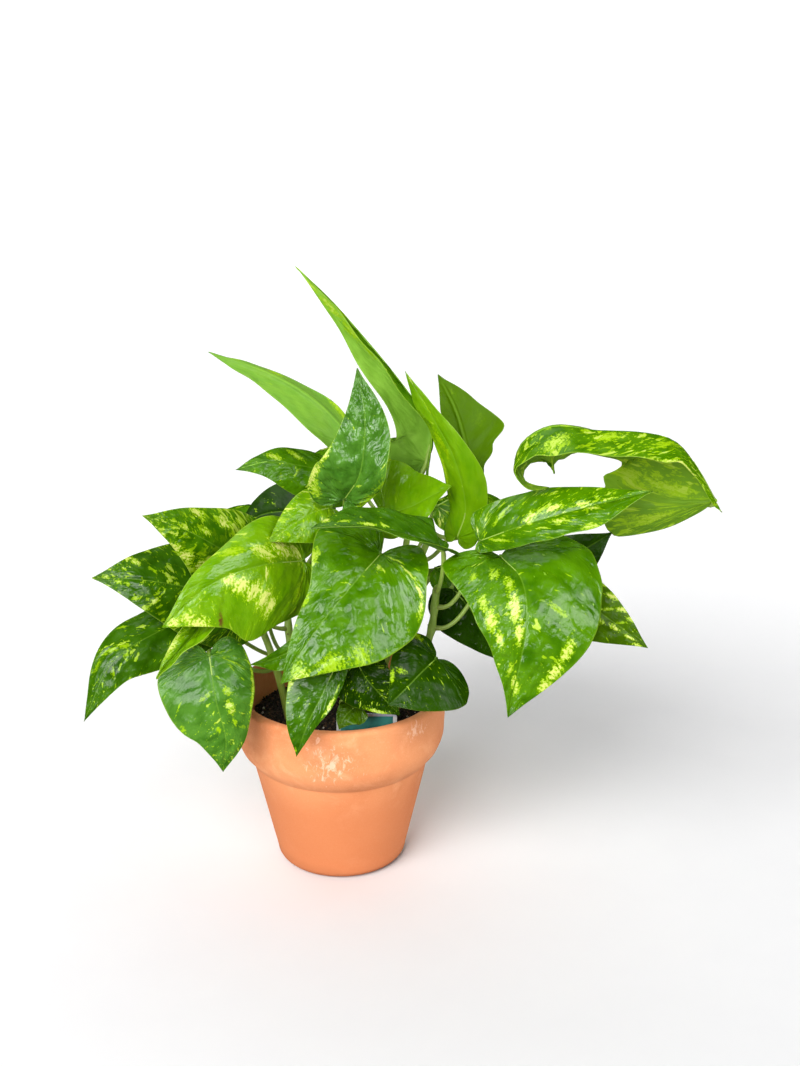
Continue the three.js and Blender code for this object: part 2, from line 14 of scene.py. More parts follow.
import bpy
import numpy as np
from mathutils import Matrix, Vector


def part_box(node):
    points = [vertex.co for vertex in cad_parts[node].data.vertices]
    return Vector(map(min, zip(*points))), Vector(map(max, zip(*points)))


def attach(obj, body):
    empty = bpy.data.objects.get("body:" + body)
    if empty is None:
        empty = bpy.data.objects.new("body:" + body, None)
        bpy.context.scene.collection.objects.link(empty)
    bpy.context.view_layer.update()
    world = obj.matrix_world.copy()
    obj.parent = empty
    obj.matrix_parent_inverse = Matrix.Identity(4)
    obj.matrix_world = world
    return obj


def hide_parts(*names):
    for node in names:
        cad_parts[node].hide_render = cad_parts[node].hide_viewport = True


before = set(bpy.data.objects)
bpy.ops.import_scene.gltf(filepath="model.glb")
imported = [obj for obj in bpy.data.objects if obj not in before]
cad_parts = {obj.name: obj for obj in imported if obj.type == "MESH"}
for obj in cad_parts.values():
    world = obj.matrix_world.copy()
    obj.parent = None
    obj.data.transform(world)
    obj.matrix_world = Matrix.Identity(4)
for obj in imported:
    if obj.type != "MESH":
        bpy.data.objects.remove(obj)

LOG = logging.getLogger("pothos")
MM = 0.001
BODY = "root"

Point = tuple[float, float, float]
Points = Sequence[Point]
Stations = Sequence[tuple[float, Point]]
Colour = tuple[float, float, float, float]
Socket = bpy.types.NodeSocket


def paint(red: int, green: int, blue: int) -> Colour:
    """A screen colour as Blender's linear one.

    Args:
        red: the red value, 0 to 255.
        green: the green value.
        blue: the blue value.

    Returns:
        The linear colour with an alpha of 1.
    """
    shares = [value / 255 for value in (red, green, blue)]
    linear = [s / 12.92 if s <= 0.04045 else ((s + 0.055) / 1.055) ** 2.4 for s in shares]
    return (*linear, 1.0)


# ---- the tables that the part's source has too ----
@dataclass(frozen=True)
class LeafForm:
    """How one leaf is shaped and where its petiole leaves a vine.

    Left and right are as seen along the midrib with the glossy side up. A half is given by its stations,
    which are shares of the midrib and the points that it reaches towards there, or by one such point alone,
    which it reaches towards where the blade is widest.
    """

    vine: str
    share: float
    midrib: Points
    left: Stations | Point
    right: Stations | Point
    curl: tuple[float, float] = (20, 20)
    lobe: float = 1.0
    via: Points = ()


POT_HEIGHT = 130.0
RIM_RADIUS = 76.0
RIM_HEIGHT = 50.0
RIM_FOOT_RADIUS = 65.0
POT_BODY_RADIUS = 63.5
BASE_RADIUS = 47.0
FOOT_ROUND = 7.0
LIP_ROUND = 3.2
WALL = 8.0
FLOOR = 9.0
HOLE_RADIUS = 8.5
INNER_BASE = BASE_RADIUS - WALL + 2
INNER_RIM = RIM_RADIUS - WALL
SOIL_TOP = 108.0
SOIL_CROWN = 3.0
TAG_WIDTH = 42.0
TAG_THICKNESS = 1.0
TAG_TOP = 128.0
TAG_SHOULDER = 104.0
TAG_POINT = 66.0
TAG_PLACE = (20.0, -41.0)
TAG_LEAN = 4.0
VINE_RADIUS = 2.8
VINE_ROOT_DEPTH = 32.0
PETIOLE_RADIUS = 1.7
PETIOLE_GAP = 0.3
WIDEST = 0.2

# Half a blade laid flat: share of the midrib's length, share of the half width.
BLADE_OUTLINE = (
    (0, 0), (-0.09, 0.18), (-0.13, 0.5), (-0.04, 0.84), (0.1, 0.985), (0.22, 1),
    (0.38, 0.93), (0.54, 0.77), (0.7, 0.53), (0.82, 0.32), (0.92, 0.13), (1, 0),
)

VINES: dict[str, Points] = {
    "left_front": ((-36, -12, 108), (-43, -18, 150), (-52, -24, 184), (-60, -30, 204)),
    "left_back": ((-28, 12, 108), (-36, 18, 150), (-38, 26, 182), (-38, 32, 204)),
    "centre_front": ((6, -24, 108), (4, -30, 145), (6, -32, 180), (12, -30, 212)),
    "right_front": ((36, -10, 108), (54, -26, 152), (64, -33, 186), (68, -32, 220)),
    "right_back": ((46, 12, 108), (60, 14, 152), (82, 18, 200), (110, 26, 234), (136, 32, 248)),
    "top_left": ((4, 4, 108), (8, 4, 160), (14, 6, 215), (24, 8, 262)),
    "top_right": ((24, 12, 108), (38, 10, 165), (52, 4, 212), (66, 0, 250)),
    "back_left": ((-12, 36, 108), (-18, 50, 150), (-26, 62, 190), (-36, 70, 222)),
    "back_right": ((26, 38, 108), (36, 52, 150), (44, 64, 192), (50, 74, 228)),
}

LEAVES: dict[str, LeafForm] = {
    "front_centre": LeafForm("centre_front", 0.9,
        ((30, -40, 245), (12, -64, 232), (-12, -86, 208), (-34, -98, 177)),
        ((0, (70, -52, 238)), (0.32, (51, -76, 196)), (0.7, (34, -95, 169))),
        ((0.12, (-19, -52, 257)), (0.5, (-33, -80, 218))), curl=(22, 22), lobe=1.2),
    "left_front": LeafForm("left_front", 0.95,
        ((-23, -20, 233), (-51, -50, 240), (-80, -72, 235), (-110, -88, 212)),
        ((0.15, (-31, -40, 198)), (0.6, (-73, -66, 174))), ((0.2, (-41, -12, 262)), (0.6, (-80, -55, 255))),
        curl=(50, 45)),
    "left_upper": LeafForm("left_back", 0.9,
        ((-54, 10, 214), (-75, -12, 236), (-99, -35, 260), (-124, -55, 277)),
        ((0.2, (-88, -24, 198)), (0.6, (-112, -50, 236))), ((0.2, (-55, 28, 245)), (0.6, (-90, -5, 272)))),
    "left_out": LeafForm("left_back", 0.7,
        ((-70, 5, 194), (-100, -15, 211), (-132, -35, 225), (-161, -50, 232)), (-91, -30, 175),
        (-95, 20, 230)),
    "left_low": LeafForm("left_back", 0.55,
        ((-93, -10, 191), (-120, -35, 188), (-150, -55, 173), (-170, -65, 134)), (-95, -28, 167),
        (-125, -8, 197)),
    "left_small": LeafForm("left_front", 0.85,
        ((-82, -54, 210), (-92, -66, 199), (-105, -78, 187), (-116, -86, 175)), (-82, -80, 203),
        (-98, -68, 208)),
    "left_hanging": LeafForm("left_front", 0.6,
        ((-83, -68, 184), (-78, -82, 158), (-72, -86, 132), (-75, -84, 106)), (-55, -62, 168),
        (-116, -76, 164)),
    "over_centre": LeafForm("right_front", 0.98,
        ((72, -44, 250), (45, -60, 266), (17, -72, 276), (-13, -82, 278)),
        ((0.1, (76, -62, 255)), (0.5, (24, -95, 281))),
        ((0, (70, -30, 252)), (0.08, (64, -31, 267)), (0.31, (43, -37, 274)), (0.55, (19, -39, 279)),
            (0.81, (-10, -33, 280))), curl=(10, 25), lobe=0.5),
    "right_front": LeafForm("right_front", 0.8,
        ((110, -38, 243), (123, -64, 234), (124, -86, 208), (113, -98, 153)),
        ((0.16, (171, -30, 244)), (0.25, (178, -46, 229)), (0.36, (178, -59, 215)),
            (0.69, (179, -78, 175))),
        ((0.02, (68, -64, 243)), (0.25, (80, -76, 233)), (0.49, (84, -86, 217)), (0.69, (88, -93, 197)),
            (0.88, (89, -99, 174))), lobe=0.5),
    "right_long": LeafForm("right_front", 0.9,
        ((96, -39, 254), (126, -54, 271), (162, -60, 284), (205, -62, 296)),
        ((0.13, (104, -34, 279)), (0.33, (127, -35, 288)), (0.6, (157, -37, 296)), (0.83, (184, -36, 302))),
        ((0, (99, -47, 248)), (0.29, (125, -62, 259)), (0.5, (149, -73, 266)), (0.72, (177, -88, 270)),
            (0.87, (193, -100, 276))), lobe=0.2),
    "centre_narrow": LeafForm("top_right", 0.98,
        ((82, -12, 247), (87, -18, 270), (80, -22, 303), (66, -18, 330), (46, -6, 361)),
        ((0.1, (76, -8, 264)), (0.4, (72, -9, 294)), (0.66, (59, -4, 317)), (0.89, (41, 14, 333))),
        ((0.16, (101, -22, 264)), (0.37, (100, -28, 296)), (0.57, (86, -28, 324)), (0.8, (70, -19, 350))),
        lobe=0.4),
    "back_right_top": LeafForm("top_right", 0.85,
        ((91, 5, 286), (88, 18, 304), (81, 30, 326), (69, 38, 349)),
        ((0.06, (101, 8, 291)), (0.25, (107, 22, 301)), (0.44, (119, 36, 316)), (0.69, (104, 42, 337))),
        ((0.45, (73, 24, 310)), (0.75, (62, 31, 325))), curl=(0, 0), lobe=0.6),
    "top_tall": LeafForm("top_left", 0.97,
        ((62, 24, 290), (64, 28, 315), (43, 32, 344), (18, 34, 375), (-4, 34, 401), (-28, 34, 425)),
        ((0.18, (61, 6, 322)), (0.48, (31, 8, 360)), (0.62, (13, 6, 377)), (0.8, (-5, 5, 402))),
        ((0.06, (34, 15, 309)), (0.37, (30, 21, 336)), (0.55, (10, 23, 359)), (0.71, (-6, 26, 380)),
            (0.85, (-22, 26, 396))), lobe=0.8),
    "top_left_long": LeafForm("top_left", 0.9,
        ((12, 8, 308), (-14, 16, 334), (-47, 25, 352), (-88, 30, 366)), (2, 26, 326), (-8, -4, 310)),
    "upright_shiny": LeafForm("top_left", 0.8,
        ((6, -20, 277), (17, -32, 300), (20, -28, 335), (15, -20, 367)),
        ((0.2, (-17, -26, 295)), (0.6, (-3, -25, 334))),
        ((0.1, (25, -34, 284)), (0.35, (37, -40, 311)), (0.65, (43, -26, 344)))),
    "centre_round": LeafForm("top_left", 0.7,
        ((33, -2, 260), (50, -12, 269), (64, -19, 279), (77, -25, 288)),
        ((0.2, (43, 8, 298)), (0.6, (69, 2, 303))), (53, -26, 255)),
    "left_mid_far": LeafForm("top_left", 0.6, ((5, 20, 280), (-22, 10, 291), (-47, 0, 297), (-68, -8, 294)),
        (-14, 5, 265), (-10, 32, 293)),
    "left_back_dark": LeafForm("back_left", 0.97,
        ((-15, 60, 235), (-38, 65, 240), (-59, 70, 236), (-75, 72, 224)), (-27, 60, 212), (-30, 75, 263)),
    "left_inner": LeafForm("left_back", 0.97,
        ((-4, -4, 266), (-16, -16, 266), (-29, -26, 261), (-45, -36, 252)), (-10, -24, 246),
        (-17, -2, 279)),
    "right_dark": LeafForm("right_back", 0.8, ((137, 0, 215), (158, 5, 224), (176, 8, 234), (191, 10, 243)),
        (151, 10, 241), (169, 0, 204)),
    "right_low": LeafForm("right_back", 0.66,
        ((136, -10, 215), (167, -20, 204), (192, -28, 189), (213, -33, 174)), (181, -10, 219),
        (150, -25, 180)),
    "low_right_dark": LeafForm("right_back", 0.5,
        ((81, 0, 204), (95, -5, 187), (106, -8, 169), (114, -8, 153)), (116, -5, 198), (77, -8, 169)),
    "low_round": LeafForm("right_front", 0.6,
        ((67, -62, 179), (56, -74, 173), (46, -81, 165), (35, -86, 156)), (85, -80, 153), (42, -64, 192)),
    "low_centre": LeafForm("centre_front", 0.52,
        ((14, -52, 172), (20, -62, 165), (32, -66, 152), (43, -68, 140)), (33, -60, 177), (-1, -60, 155)),
    "low_front": LeafForm("centre_front", 0.8,
        ((1, -72, 179), (-8, -84, 163), (-18, -92, 144), (-25, -95, 123)), (7, -75, 169), (-34, -85, 167)),
    "low_tip": LeafForm("centre_front", 0.38, ((13, -58, 142), (9, -64, 141), (5, -69, 138), (2, -71, 131)),
        (20, -64, 134), (3, -60, 146), via=((3, -46, 140),)),
    "low_left_small": LeafForm("centre_front", 0.75,
        ((-13, -35, 187), (-28, -45, 179), (-43, -52, 174), (-57, -58, 173)), (-16, -50, 169),
        (-25, -38, 188)),
    "right_curled": LeafForm("right_back", 0.98,
        ((257, -10, 273), (242, -14, 298), (226, -20, 317), (204, -26, 325), (170, -34, 329),
            (142, -40, 333), (123, -44, 324), (117, -46, 308), (124, -46, 296), (140, -44, 292)),
        ((0.08, (246, -20, 286)), (0.22, (230, -36, 305)), (0.35, (212, -49, 310)), (0.43, (197, -60, 314)),
            (0.55, (171, -71, 315)), (0.73, (150, -92, 310)), (0.8, (138, -110, 319)),
            (0.85, (115, -123, 315)), (0.91, (136, -153, 304))),
        ((0.03, (183, 16, 242)), (0.11, (184, 23, 260)), (0.17, (185, 20, 277)), (0.37, (188, 10, 295)),
            (0.54, (177, -8, 301)), (0.62, (170, -20, 290)), (0.69, (168, -21, 272)),
            (0.76, (174, -16, 266)), (0.84, (186, -18, 281)), (0.92, (138, -40, 301))), curl=(8, 6),
        lobe=0.3, via=((180, 46, 252), (232, 34, 258))),
    "back_left_high": LeafForm("back_left", 0.9,
        ((-52, 94, 226), (-78, 118, 228), (-104, 136, 212), (-124, 148, 180)), (-94, 94, 212),
        (-48, 134, 214)),
    "back_left_low": LeafForm("back_left", 0.6,
        ((-52, 78, 186), (-78, 98, 184), (-104, 112, 166), (-124, 122, 134)), (-84, 66, 166),
        (-50, 116, 166)),
    "back_centre_high": LeafForm("back_right", 0.97,
        ((10, 92, 268), (6, 122, 276), (4, 152, 266), (4, 178, 236)), (-34, 106, 258), (46, 108, 256)),
    "back_centre_low": LeafForm("back_left", 0.75,
        ((4, 92, 196), (4, 120, 194), (0, 146, 172), (-4, 160, 136)), (-36, 100, 178), (42, 102, 176)),
    "back_right_high": LeafForm("back_right", 0.85,
        ((70, 92, 236), (96, 116, 240), (122, 138, 226), (142, 152, 194)), (62, 130, 222), (112, 90, 222)),
    "back_right_low": LeafForm("back_right", 0.6,
        ((70, 82, 190), (98, 100, 190), (124, 114, 172), (144, 122, 138)), (72, 116, 172), (106, 66, 174)),
    "left_behind": LeafForm("left_back", 0.55,
        ((-66, 44, 202), (-92, 58, 204), (-118, 68, 190), (-138, 72, 160)), (-82, 24, 190), (-74, 84, 190)),
    "right_behind": LeafForm("right_back", 0.6,
        ((104, 44, 200), (130, 58, 202), (154, 68, 186), (172, 72, 154)), (106, 84, 188), (126, 22, 186)),
}


# ---- how each blade looks ----
class Tone(Enum):
    """The greens of a blade: the deep one, the bright one and the matte one underneath."""

    VIVID = (paint(46, 91, 0), paint(81, 129, 0), paint(109, 150, 26))
    # MID's underside green is partly the leaf's own paler back and partly painted light, lifted to stand for
    # light shining through the blade
    MID = (paint(44, 88, 0), paint(78, 127, 2), paint(138, 184, 66))
    DEEP = (paint(35, 74, 0), paint(62, 107, 4), paint(80, 120, 28))
    # painted shade: this tone is a darker copy of the greens, for the leaves that sit in shade low in and
    # behind the plant
    DARK = (paint(20, 48, 0), paint(37, 70, 0), paint(56, 90, 14))
    COOL = (paint(47, 92, 16), paint(82, 132, 38), paint(104, 146, 44))
    OLIVE = (paint(47, 76, 0), paint(73, 110, 0), paint(64, 96, 0))
    LIME = (paint(81, 129, 0), paint(107, 150, 4), paint(99, 140, 8))


@dataclass(frozen=True)
class Patch:
    """A marking: its place across, -1 to 1, and along, 0 to 1, its half sizes, and how pale it is."""

    across: float
    along: float
    wide: float
    long: float
    pale: float = 1.0


@dataclass(frozen=True)
class LeafLook:
    """The finish of one blade.

    flecks and blotches say how much of the blade they cover, from 0 to 1, and rim how pale its margin is.
    patches are its pale markings and scars its brown ones, each with the values of a Patch. quilt says how
    strong its relief is, through how much of the markings shows underneath, and shine is the specular level.
    """

    tone: Tone = Tone.MID
    flecks: float = 0.1
    blotches: float = 0.05
    rim: float = 0.35
    patches: Sequence[tuple[float, ...]] = ()
    scars: Sequence[tuple[float, ...]] = ()
    quilt: float = 1.0
    roughness: float = 0.2
    through: float = 0.45
    shine: float = 0.4


LOOKS: dict[str, LeafLook] = {
    "front_centre": LeafLook(Tone.VIVID, 0.08, 0.0, 0.45, ((-0.3, 0.31, 0.22, 0.014, 0.75),
        (-0.6, 0.355, 0.24, 0.015, 0.9), (-0.84, 0.383, 0.12, 0.018), (-0.92, 0.425, 0.05, 0.035, 0.9),
        (-0.85, 0.9, 0.4, 0.05, 0.8), (-0.4, 0.9, 0.4, 0.04, 0.55), (-0.83, 0.784, 0.3, 0.06, 0.6),
        (-0.85, 0.69, 0.2, 0.04, 0.5), (0.95, 0.51, 0.12, 0.03, 0.7), (0.96, 0.3, 0.08, 0.07, 0.55),
        (0.95, 0.64, 0.08, 0.03, 0.6)), quilt=1.5),
    "left_front": LeafLook(Tone.LIME, 0.12, 0.03, 0.5, ((-0.07, 0.72, 0.16, 0.026),
        (-0.21, 0.69, 0.16, 0.03), (-0.35, 0.652, 0.16, 0.03), (-0.49, 0.612, 0.16, 0.03),
        (-0.64, 0.572, 0.15, 0.03), (0.3, 0.6, 0.28, 0.03, 0.85), (0.28, 0.54, 0.28, 0.035),
        (0.15, 0.49, 0.28, 0.03, 0.9), (0.7, 0.64, 0.25, 0.03, 0.6), (-0.4, 0.44, 0.3, 0.05, 0.55),
        (-0.6, 0.94, 0.5, 0.04), (-0.55, 0.885, 0.35, 0.035, 0.9), (-0.92, 0.85, 0.3, 0.05),
        (-0.2, 0.95, 0.4, 0.03, 0.8), (0.8, 0.93, 0.3, 0.03, 0.6)), ((-0.84, 0.765, 0.22, 0.011),)),
    "left_upper": LeafLook(Tone.MID, 0.42, 0.14, 0.35, ((-0.95, 0.76, 0.2, 0.03),
        (-0.85, 0.705, 0.22, 0.025), (-0.62, 0.65, 0.25, 0.025), (-0.35, 0.62, 0.2, 0.02, 0.9),
        (0.87, 0.7, 0.2, 0.03, 0.9), (0.17, 0.807, 0.15, 0.02, 0.8), (0.67, 0.614, 0.15, 0.03),
        (0.3, 0.705, 0.15, 0.02, 0.8), (0.23, 0.6, 0.3, 0.02, 0.6), (-0.95, 0.84, 0.12, 0.03, 0.8))),
    "left_out": LeafLook(Tone.DEEP, 0.26, 0.02, 0.3, ((0.95, 0.785, 0.1, 0.02),
        (0.75, 0.773, 0.16, 0.016, 0.9), (0.2, 0.93, 0.4, 0.02, 0.8), (-0.33, 0.875, 0.2, 0.02, 0.7),
        (-0.83, 0.773, 0.14, 0.014, 0.7), (-0.66, 0.716, 0.2, 0.012, 0.8), (-0.95, 0.72, 0.12, 0.014, 0.7),
        (-0.95, 0.62, 0.2, 0.03, 0.5))),
    "left_low": LeafLook(Tone.DEEP, 0.14, 0.0, 0.4, ((0.53, 0.716, 0.3, 0.014, 0.5),
        (0.72, 0.76, 0.2, 0.03, 0.4), (0.2, 0.705, 0.2, 0.014, 0.5), (-0.17, 0.716, 0.2, 0.01, 0.5),
        (-0.4, 0.77, 0.3, 0.012, 0.4)), shine=0.3),
    "left_small": LeafLook(Tone.LIME, 0.04, 0.0, 0.7, ((1.0, 0.7, 0.5, 0.14, 0.85),)),
    "left_hanging": LeafLook(Tone.COOL, 0.14, 0.0, 0.5, ((-0.38, 0.665, 0.16, 0.03, 0.8),
        (-0.3, 0.605, 0.14, 0.02, 0.6), (-0.47, 0.716, 0.1, 0.02, 0.6), (0.2, 0.74, 0.1, 0.02, 0.5),
        (-0.42, 0.43, 0.3, 0.012, 0.6), (-0.96, 0.5, 0.05, 0.2, 0.7), (0.93, 0.636, 0.08, 0.02, 0.5),
        (0.2, 0.62, 0.2, 0.01, 0.4)), shine=0.3),
    "over_centre": LeafLook(Tone.DEEP, 0.08, 0.0, 0.25, ((0.85, 0.885, 0.3, 0.03, 0.9),
        (0.3, 0.83, 0.12, 0.03, 0.7), (0.13, 0.75, 0.1, 0.04, 0.8), (-0.1, 0.68, 0.1, 0.03, 0.9)),
        quilt=0.8),
    "right_front": LeafLook(Tone.VIVID, 0.08, 0.0, 0.3, ((0.78, 0.59, 0.1, 0.03, 0.75),
        (0.74, 0.645, 0.14, 0.035, 0.9), (0.7, 0.7, 0.1, 0.03), (0.25, 0.59, 0.1, 0.03, 0.75),
        (0.26, 0.655, 0.15, 0.04), (0.18, 0.715, 0.13, 0.035), (0.38, 0.534, 0.12, 0.02, 0.7),
        (-0.78, 0.7, 0.1, 0.035, 0.9), (-0.84, 0.76, 0.14, 0.035), (-0.9, 0.81, 0.16, 0.03),
        (0.25, 0.85, 0.2, 0.03, 0.9), (-0.07, 0.88, 0.2, 0.03, 0.8), (0.67, 0.477, 0.1, 0.02, 0.6),
        (-0.47, 0.636, 0.2, 0.01, 0.5), (0.5, 0.8, 0.2, 0.02, 0.7)), quilt=1.6),
    "right_long": LeafLook(Tone.VIVID, 0.2, 0.03, 0.35, ((-0.15, 0.63, 0.25, 0.018, 0.85),
        (-0.3, 0.68, 0.16, 0.024), (-0.24, 0.75, 0.12, 0.03), (-0.22, 0.83, 0.12, 0.03, 0.8),
        (0.37, 0.68, 0.2, 0.018, 0.85), (0.4, 0.51, 0.3, 0.016, 0.7), (0.17, 0.773, 0.14, 0.024, 0.85),
        (0.92, 0.7, 0.1, 0.03, 0.8), (-0.5, 0.52, 0.3, 0.014, 0.6)), quilt=0.8),
    "centre_narrow": LeafLook(Tone.LIME, 0.03, 0.0, 0.4, ((0.3, 0.955, 0.6, 0.03, 0.9),
        (0.1, 0.85, 0.2, 0.04, 0.5), (-0.45, 0.72, 0.3, 0.06, 0.5), (-0.9, 0.6, 0.12, 0.12, 0.6)),
        quilt=0.6),
    "back_right_top": LeafLook(Tone.OLIVE, 0.02, 0.0, 0.25, ((-0.43, 0.85, 0.3, 0.03, 0.4),
        (-0.6, 0.67, 0.3, 0.03, 0.3)), quilt=0.5, through=0.5, shine=0.06),
    "top_tall": LeafLook(Tone.MID, 0.05, 0.0, 0.4, ((0.87, 0.9, 0.5, 0.04), (0.55, 0.83, 0.4, 0.05),
        (0.4, 0.76, 0.3, 0.04, 0.9), (0.25, 0.97, 0.8, 0.03), (-0.7, 0.8, 0.2, 0.06, 0.5),
        (0.2, 0.716, 0.2, 0.03, 0.7)), quilt=0.7, through=0.8, shine=0.15),
    "top_left_long": LeafLook(Tone.COOL, 0.04, 0.0, 0.4, ((-0.9, 0.46, 0.3, 0.05),
        (-0.8, 0.7, 0.25, 0.04, 0.6), (-0.9, 0.85, 0.3, 0.04, 0.6)), quilt=0.6, through=0.7, shine=0.15),
    "upright_shiny": LeafLook(Tone.COOL, 0.05, 0.0, 0.5, ((-0.94, 0.38, 0.14, 0.12),
        (-0.8, 0.3, 0.2, 0.08, 0.7), (-0.97, 0.54, 0.08, 0.06), (0.9, 0.35, 0.3, 0.2, 0.4)), quilt=2.3,
        shine=0.5),
    "centre_round": LeafLook(Tone.LIME, 0.02, 0.0, 0.3, quilt=0.6),
    "left_mid_far": LeafLook(Tone.MID, 0.1, 0.05, 0.3, ((0.5, 0.75, 0.4, 0.03, 0.8),
        (0.6, 0.65, 0.35, 0.02, 0.7))),
    "left_back_dark": LeafLook(Tone.DARK, 0.1, 0.0, 0.1, quilt=0.5, roughness=0.4, shine=0.1),
    "left_inner": LeafLook(Tone.LIME, 0.28, 0.12, 0.4),
    "right_dark": LeafLook(Tone.DARK, 0.01, 0.0, 0.1, shine=0.15),
    "right_low": LeafLook(Tone.OLIVE, 0.08, 0.0, 0.3, ((-0.97, 0.6, 0.2, 0.014, 0.8),
        (-0.97, 0.66, 0.25, 0.02), (-0.9, 0.725, 0.25, 0.018), (-0.97, 0.78, 0.25, 0.02, 0.9),
        (0.27, 0.73, 0.12, 0.02, 0.8), (0.23, 0.795, 0.14, 0.03), (0.33, 0.875, 0.2, 0.035),
        (0.8, 0.92, 0.3, 0.03), (-0.5, 0.64, 0.3, 0.01, 0.7), (-0.4, 0.72, 0.3, 0.01, 0.7),
        (-0.3, 0.8, 0.3, 0.01, 0.6)), shine=0.13),
    "low_right_dark": LeafLook(Tone.DARK, 0.0, 0.0, 0.05, shine=0.2),
    "low_round": LeafLook(Tone.DARK, 0.06, 0.0, 0.15, ((0.9, 0.73, 0.14, 0.06, 0.6),
        (0.6, 0.68, 0.25, 0.02, 0.5), (0.85, 0.3, 0.3, 0.05, 0.5)), quilt=0.6, shine=0.12),
    "low_centre": LeafLook(Tone.DARK, 0.14, 0.02, 0.15, ((0.93, 0.78, 0.14, 0.1, 0.8),), shine=0.15),
    "low_front": LeafLook(Tone.DEEP, 0.06, 0.0, 0.35, ((-0.85, 0.58, 0.14, 0.06, 0.9),
        (-0.75, 0.5, 0.1, 0.05, 0.6), (0.96, 0.55, 0.12, 0.05, 0.8), (0.8, 0.93, 0.3, 0.03, 0.5))),
    "low_tip": LeafLook(Tone.OLIVE, 0.03, 0.0, 0.15),
    "low_left_small": LeafLook(Tone.VIVID, 0.02, 0.0, 0.3),
    "right_curled": LeafLook(Tone.VIVID, 0.34, 0.06, 0.4, ((-0.67, 0.76, 0.3, 0.03, 0.7),
        (-0.35, 0.69, 0.25, 0.02, 0.6), (-0.4, 0.6, 0.3, 0.02, 0.5), (-0.97, 0.46, 0.08, 0.12, 0.9),
        (0.75, 0.49, 0.3, 0.03, 0.7), (0.35, 0.5, 0.3, 0.02, 0.7), (0.55, 0.32, 0.3, 0.03, 0.7),
        (0.6, 0.62, 0.3, 0.02, 0.6)), quilt=0.8, through=1.0, shine=0.25),
    "back_left_high": LeafLook(Tone.VIVID, 0.12, 0.06, 0.4),
    "back_left_low": LeafLook(Tone.MID, 0.2, 0.14, 0.4),
    "back_centre_high": LeafLook(Tone.VIVID, 0.15, 0.08, 0.5, ((0.5, 0.6, 0.3, 0.05),
        (-0.3, 0.75, 0.3, 0.04))),
    "back_centre_low": LeafLook(Tone.DEEP, 0.1, 0.04, 0.4),
    "back_right_high": LeafLook(Tone.MID, 0.25, 0.16, 0.4),
    "back_right_low": LeafLook(Tone.VIVID, 0.08, 0.04, 0.4, ((-0.5, 0.6, 0.3, 0.04),)),
    "left_behind": LeafLook(Tone.MID, 0.12, 0.08, 0.4),
    "right_behind": LeafLook(Tone.VIVID, 0.16, 0.08, 0.4),
}


# ---- node trees ----
class Graph:
    """A node tree that is built by short calls."""

    def __init__(self, tree: bpy.types.NodeTree) -> None:
        """Takes the tree that the nodes go in."""
        self.tree = tree

    def feed(self, node: bpy.types.Node, key: str | int, value: Any) -> None:
        """Links or sets one input of a node.

        Args:
            node: the node.
            key: the input's name, of which the one in use is meant, or its number.
            value: a socket to link, or a value.
        """
        found = [s for s in node.inputs if s.name == key and s.enabled]
        socket = node.inputs[key] if isinstance(key, int) else found[0]
        if isinstance(value, Socket):
            self.tree.links.new(value, socket)
        else:
            socket.default_value = value

    def node(self, kind: str, inputs: dict[str | int, Any] | None = None, **settings: Any) -> bpy.types.Node:
        """Adds a node.

        Args:
            kind: the node's type.
            inputs: what its inputs are fed with.
            **settings: the node's own settings, which are made first.

        Returns:
            The node.
        """
        made = self.tree.nodes.new(kind)
        for key, value in settings.items():
            setattr(made, key, value)
        for key, value in (inputs or {}).items():
            self.feed(made, key, value)
        return made

    def out(self, kind: str, inputs: dict[str | int, Any] | None = None, **settings: Any) -> Socket:
        """Adds a node, as node does, and gives the first of its outputs that is in use."""
        return next(s for s in self.node(kind, inputs, **settings).outputs if s.enabled)

    def maths(self, operation: str, *values: Any, clamp: bool = False) -> Socket:
        """One sum on numbers, in the Math node's terms."""
        return self.out("ShaderNodeMath", dict(enumerate(values)), operation=operation, use_clamp=clamp)

    def vector(self, operation: str, *values: Any) -> Socket:
        """One sum on vectors, in the Vector Math node's terms."""
        return self.out("ShaderNodeVectorMath", dict(enumerate(values)), operation=operation)

    def away(self, place: Any, middle: Any, scale: Any) -> Socket:
        """The distance of a place from a middle, with each axis scaled."""
        return self.vector("LENGTH", self.vector("MULTIPLY", self.vector("SUBTRACT", place, middle), scale))

    def split(self, vector: Any) -> list[Socket]:
        """The three parts of a vector."""
        return list(self.node("ShaderNodeSeparateXYZ", {"Vector": vector}).outputs)

    def join(self, x: Any, y: Any, z: Any = 0.0) -> Socket:
        """A vector out of its three parts."""
        return self.out("ShaderNodeCombineXYZ", {"X": x, "Y": y, "Z": z})

    def noise(self, place: Any, scale: float, detail: float = 2, roughness: float = 0.5,
              distortion: float = 0) -> Socket:
        """Soft random values about 0.5, in the Noise Texture's terms."""
        inputs = {"Scale": scale, "Detail": detail, "Roughness": roughness, "Distortion": distortion}
        return self.out("ShaderNodeTexNoise", {"Vector": place, **inputs})

    def ramp(self, value: Any, low: Any, high: Any, start: Any = 0.0, end: Any = 1.0) -> Socket:
        """A value carried smoothly from the range of low to high to the range of start to end."""
        inputs = {"Value": value, "From Min": low, "From Max": high, "To Min": start, "To Max": end}
        return self.out("ShaderNodeMapRange", inputs, interpolation_type="SMOOTHSTEP")


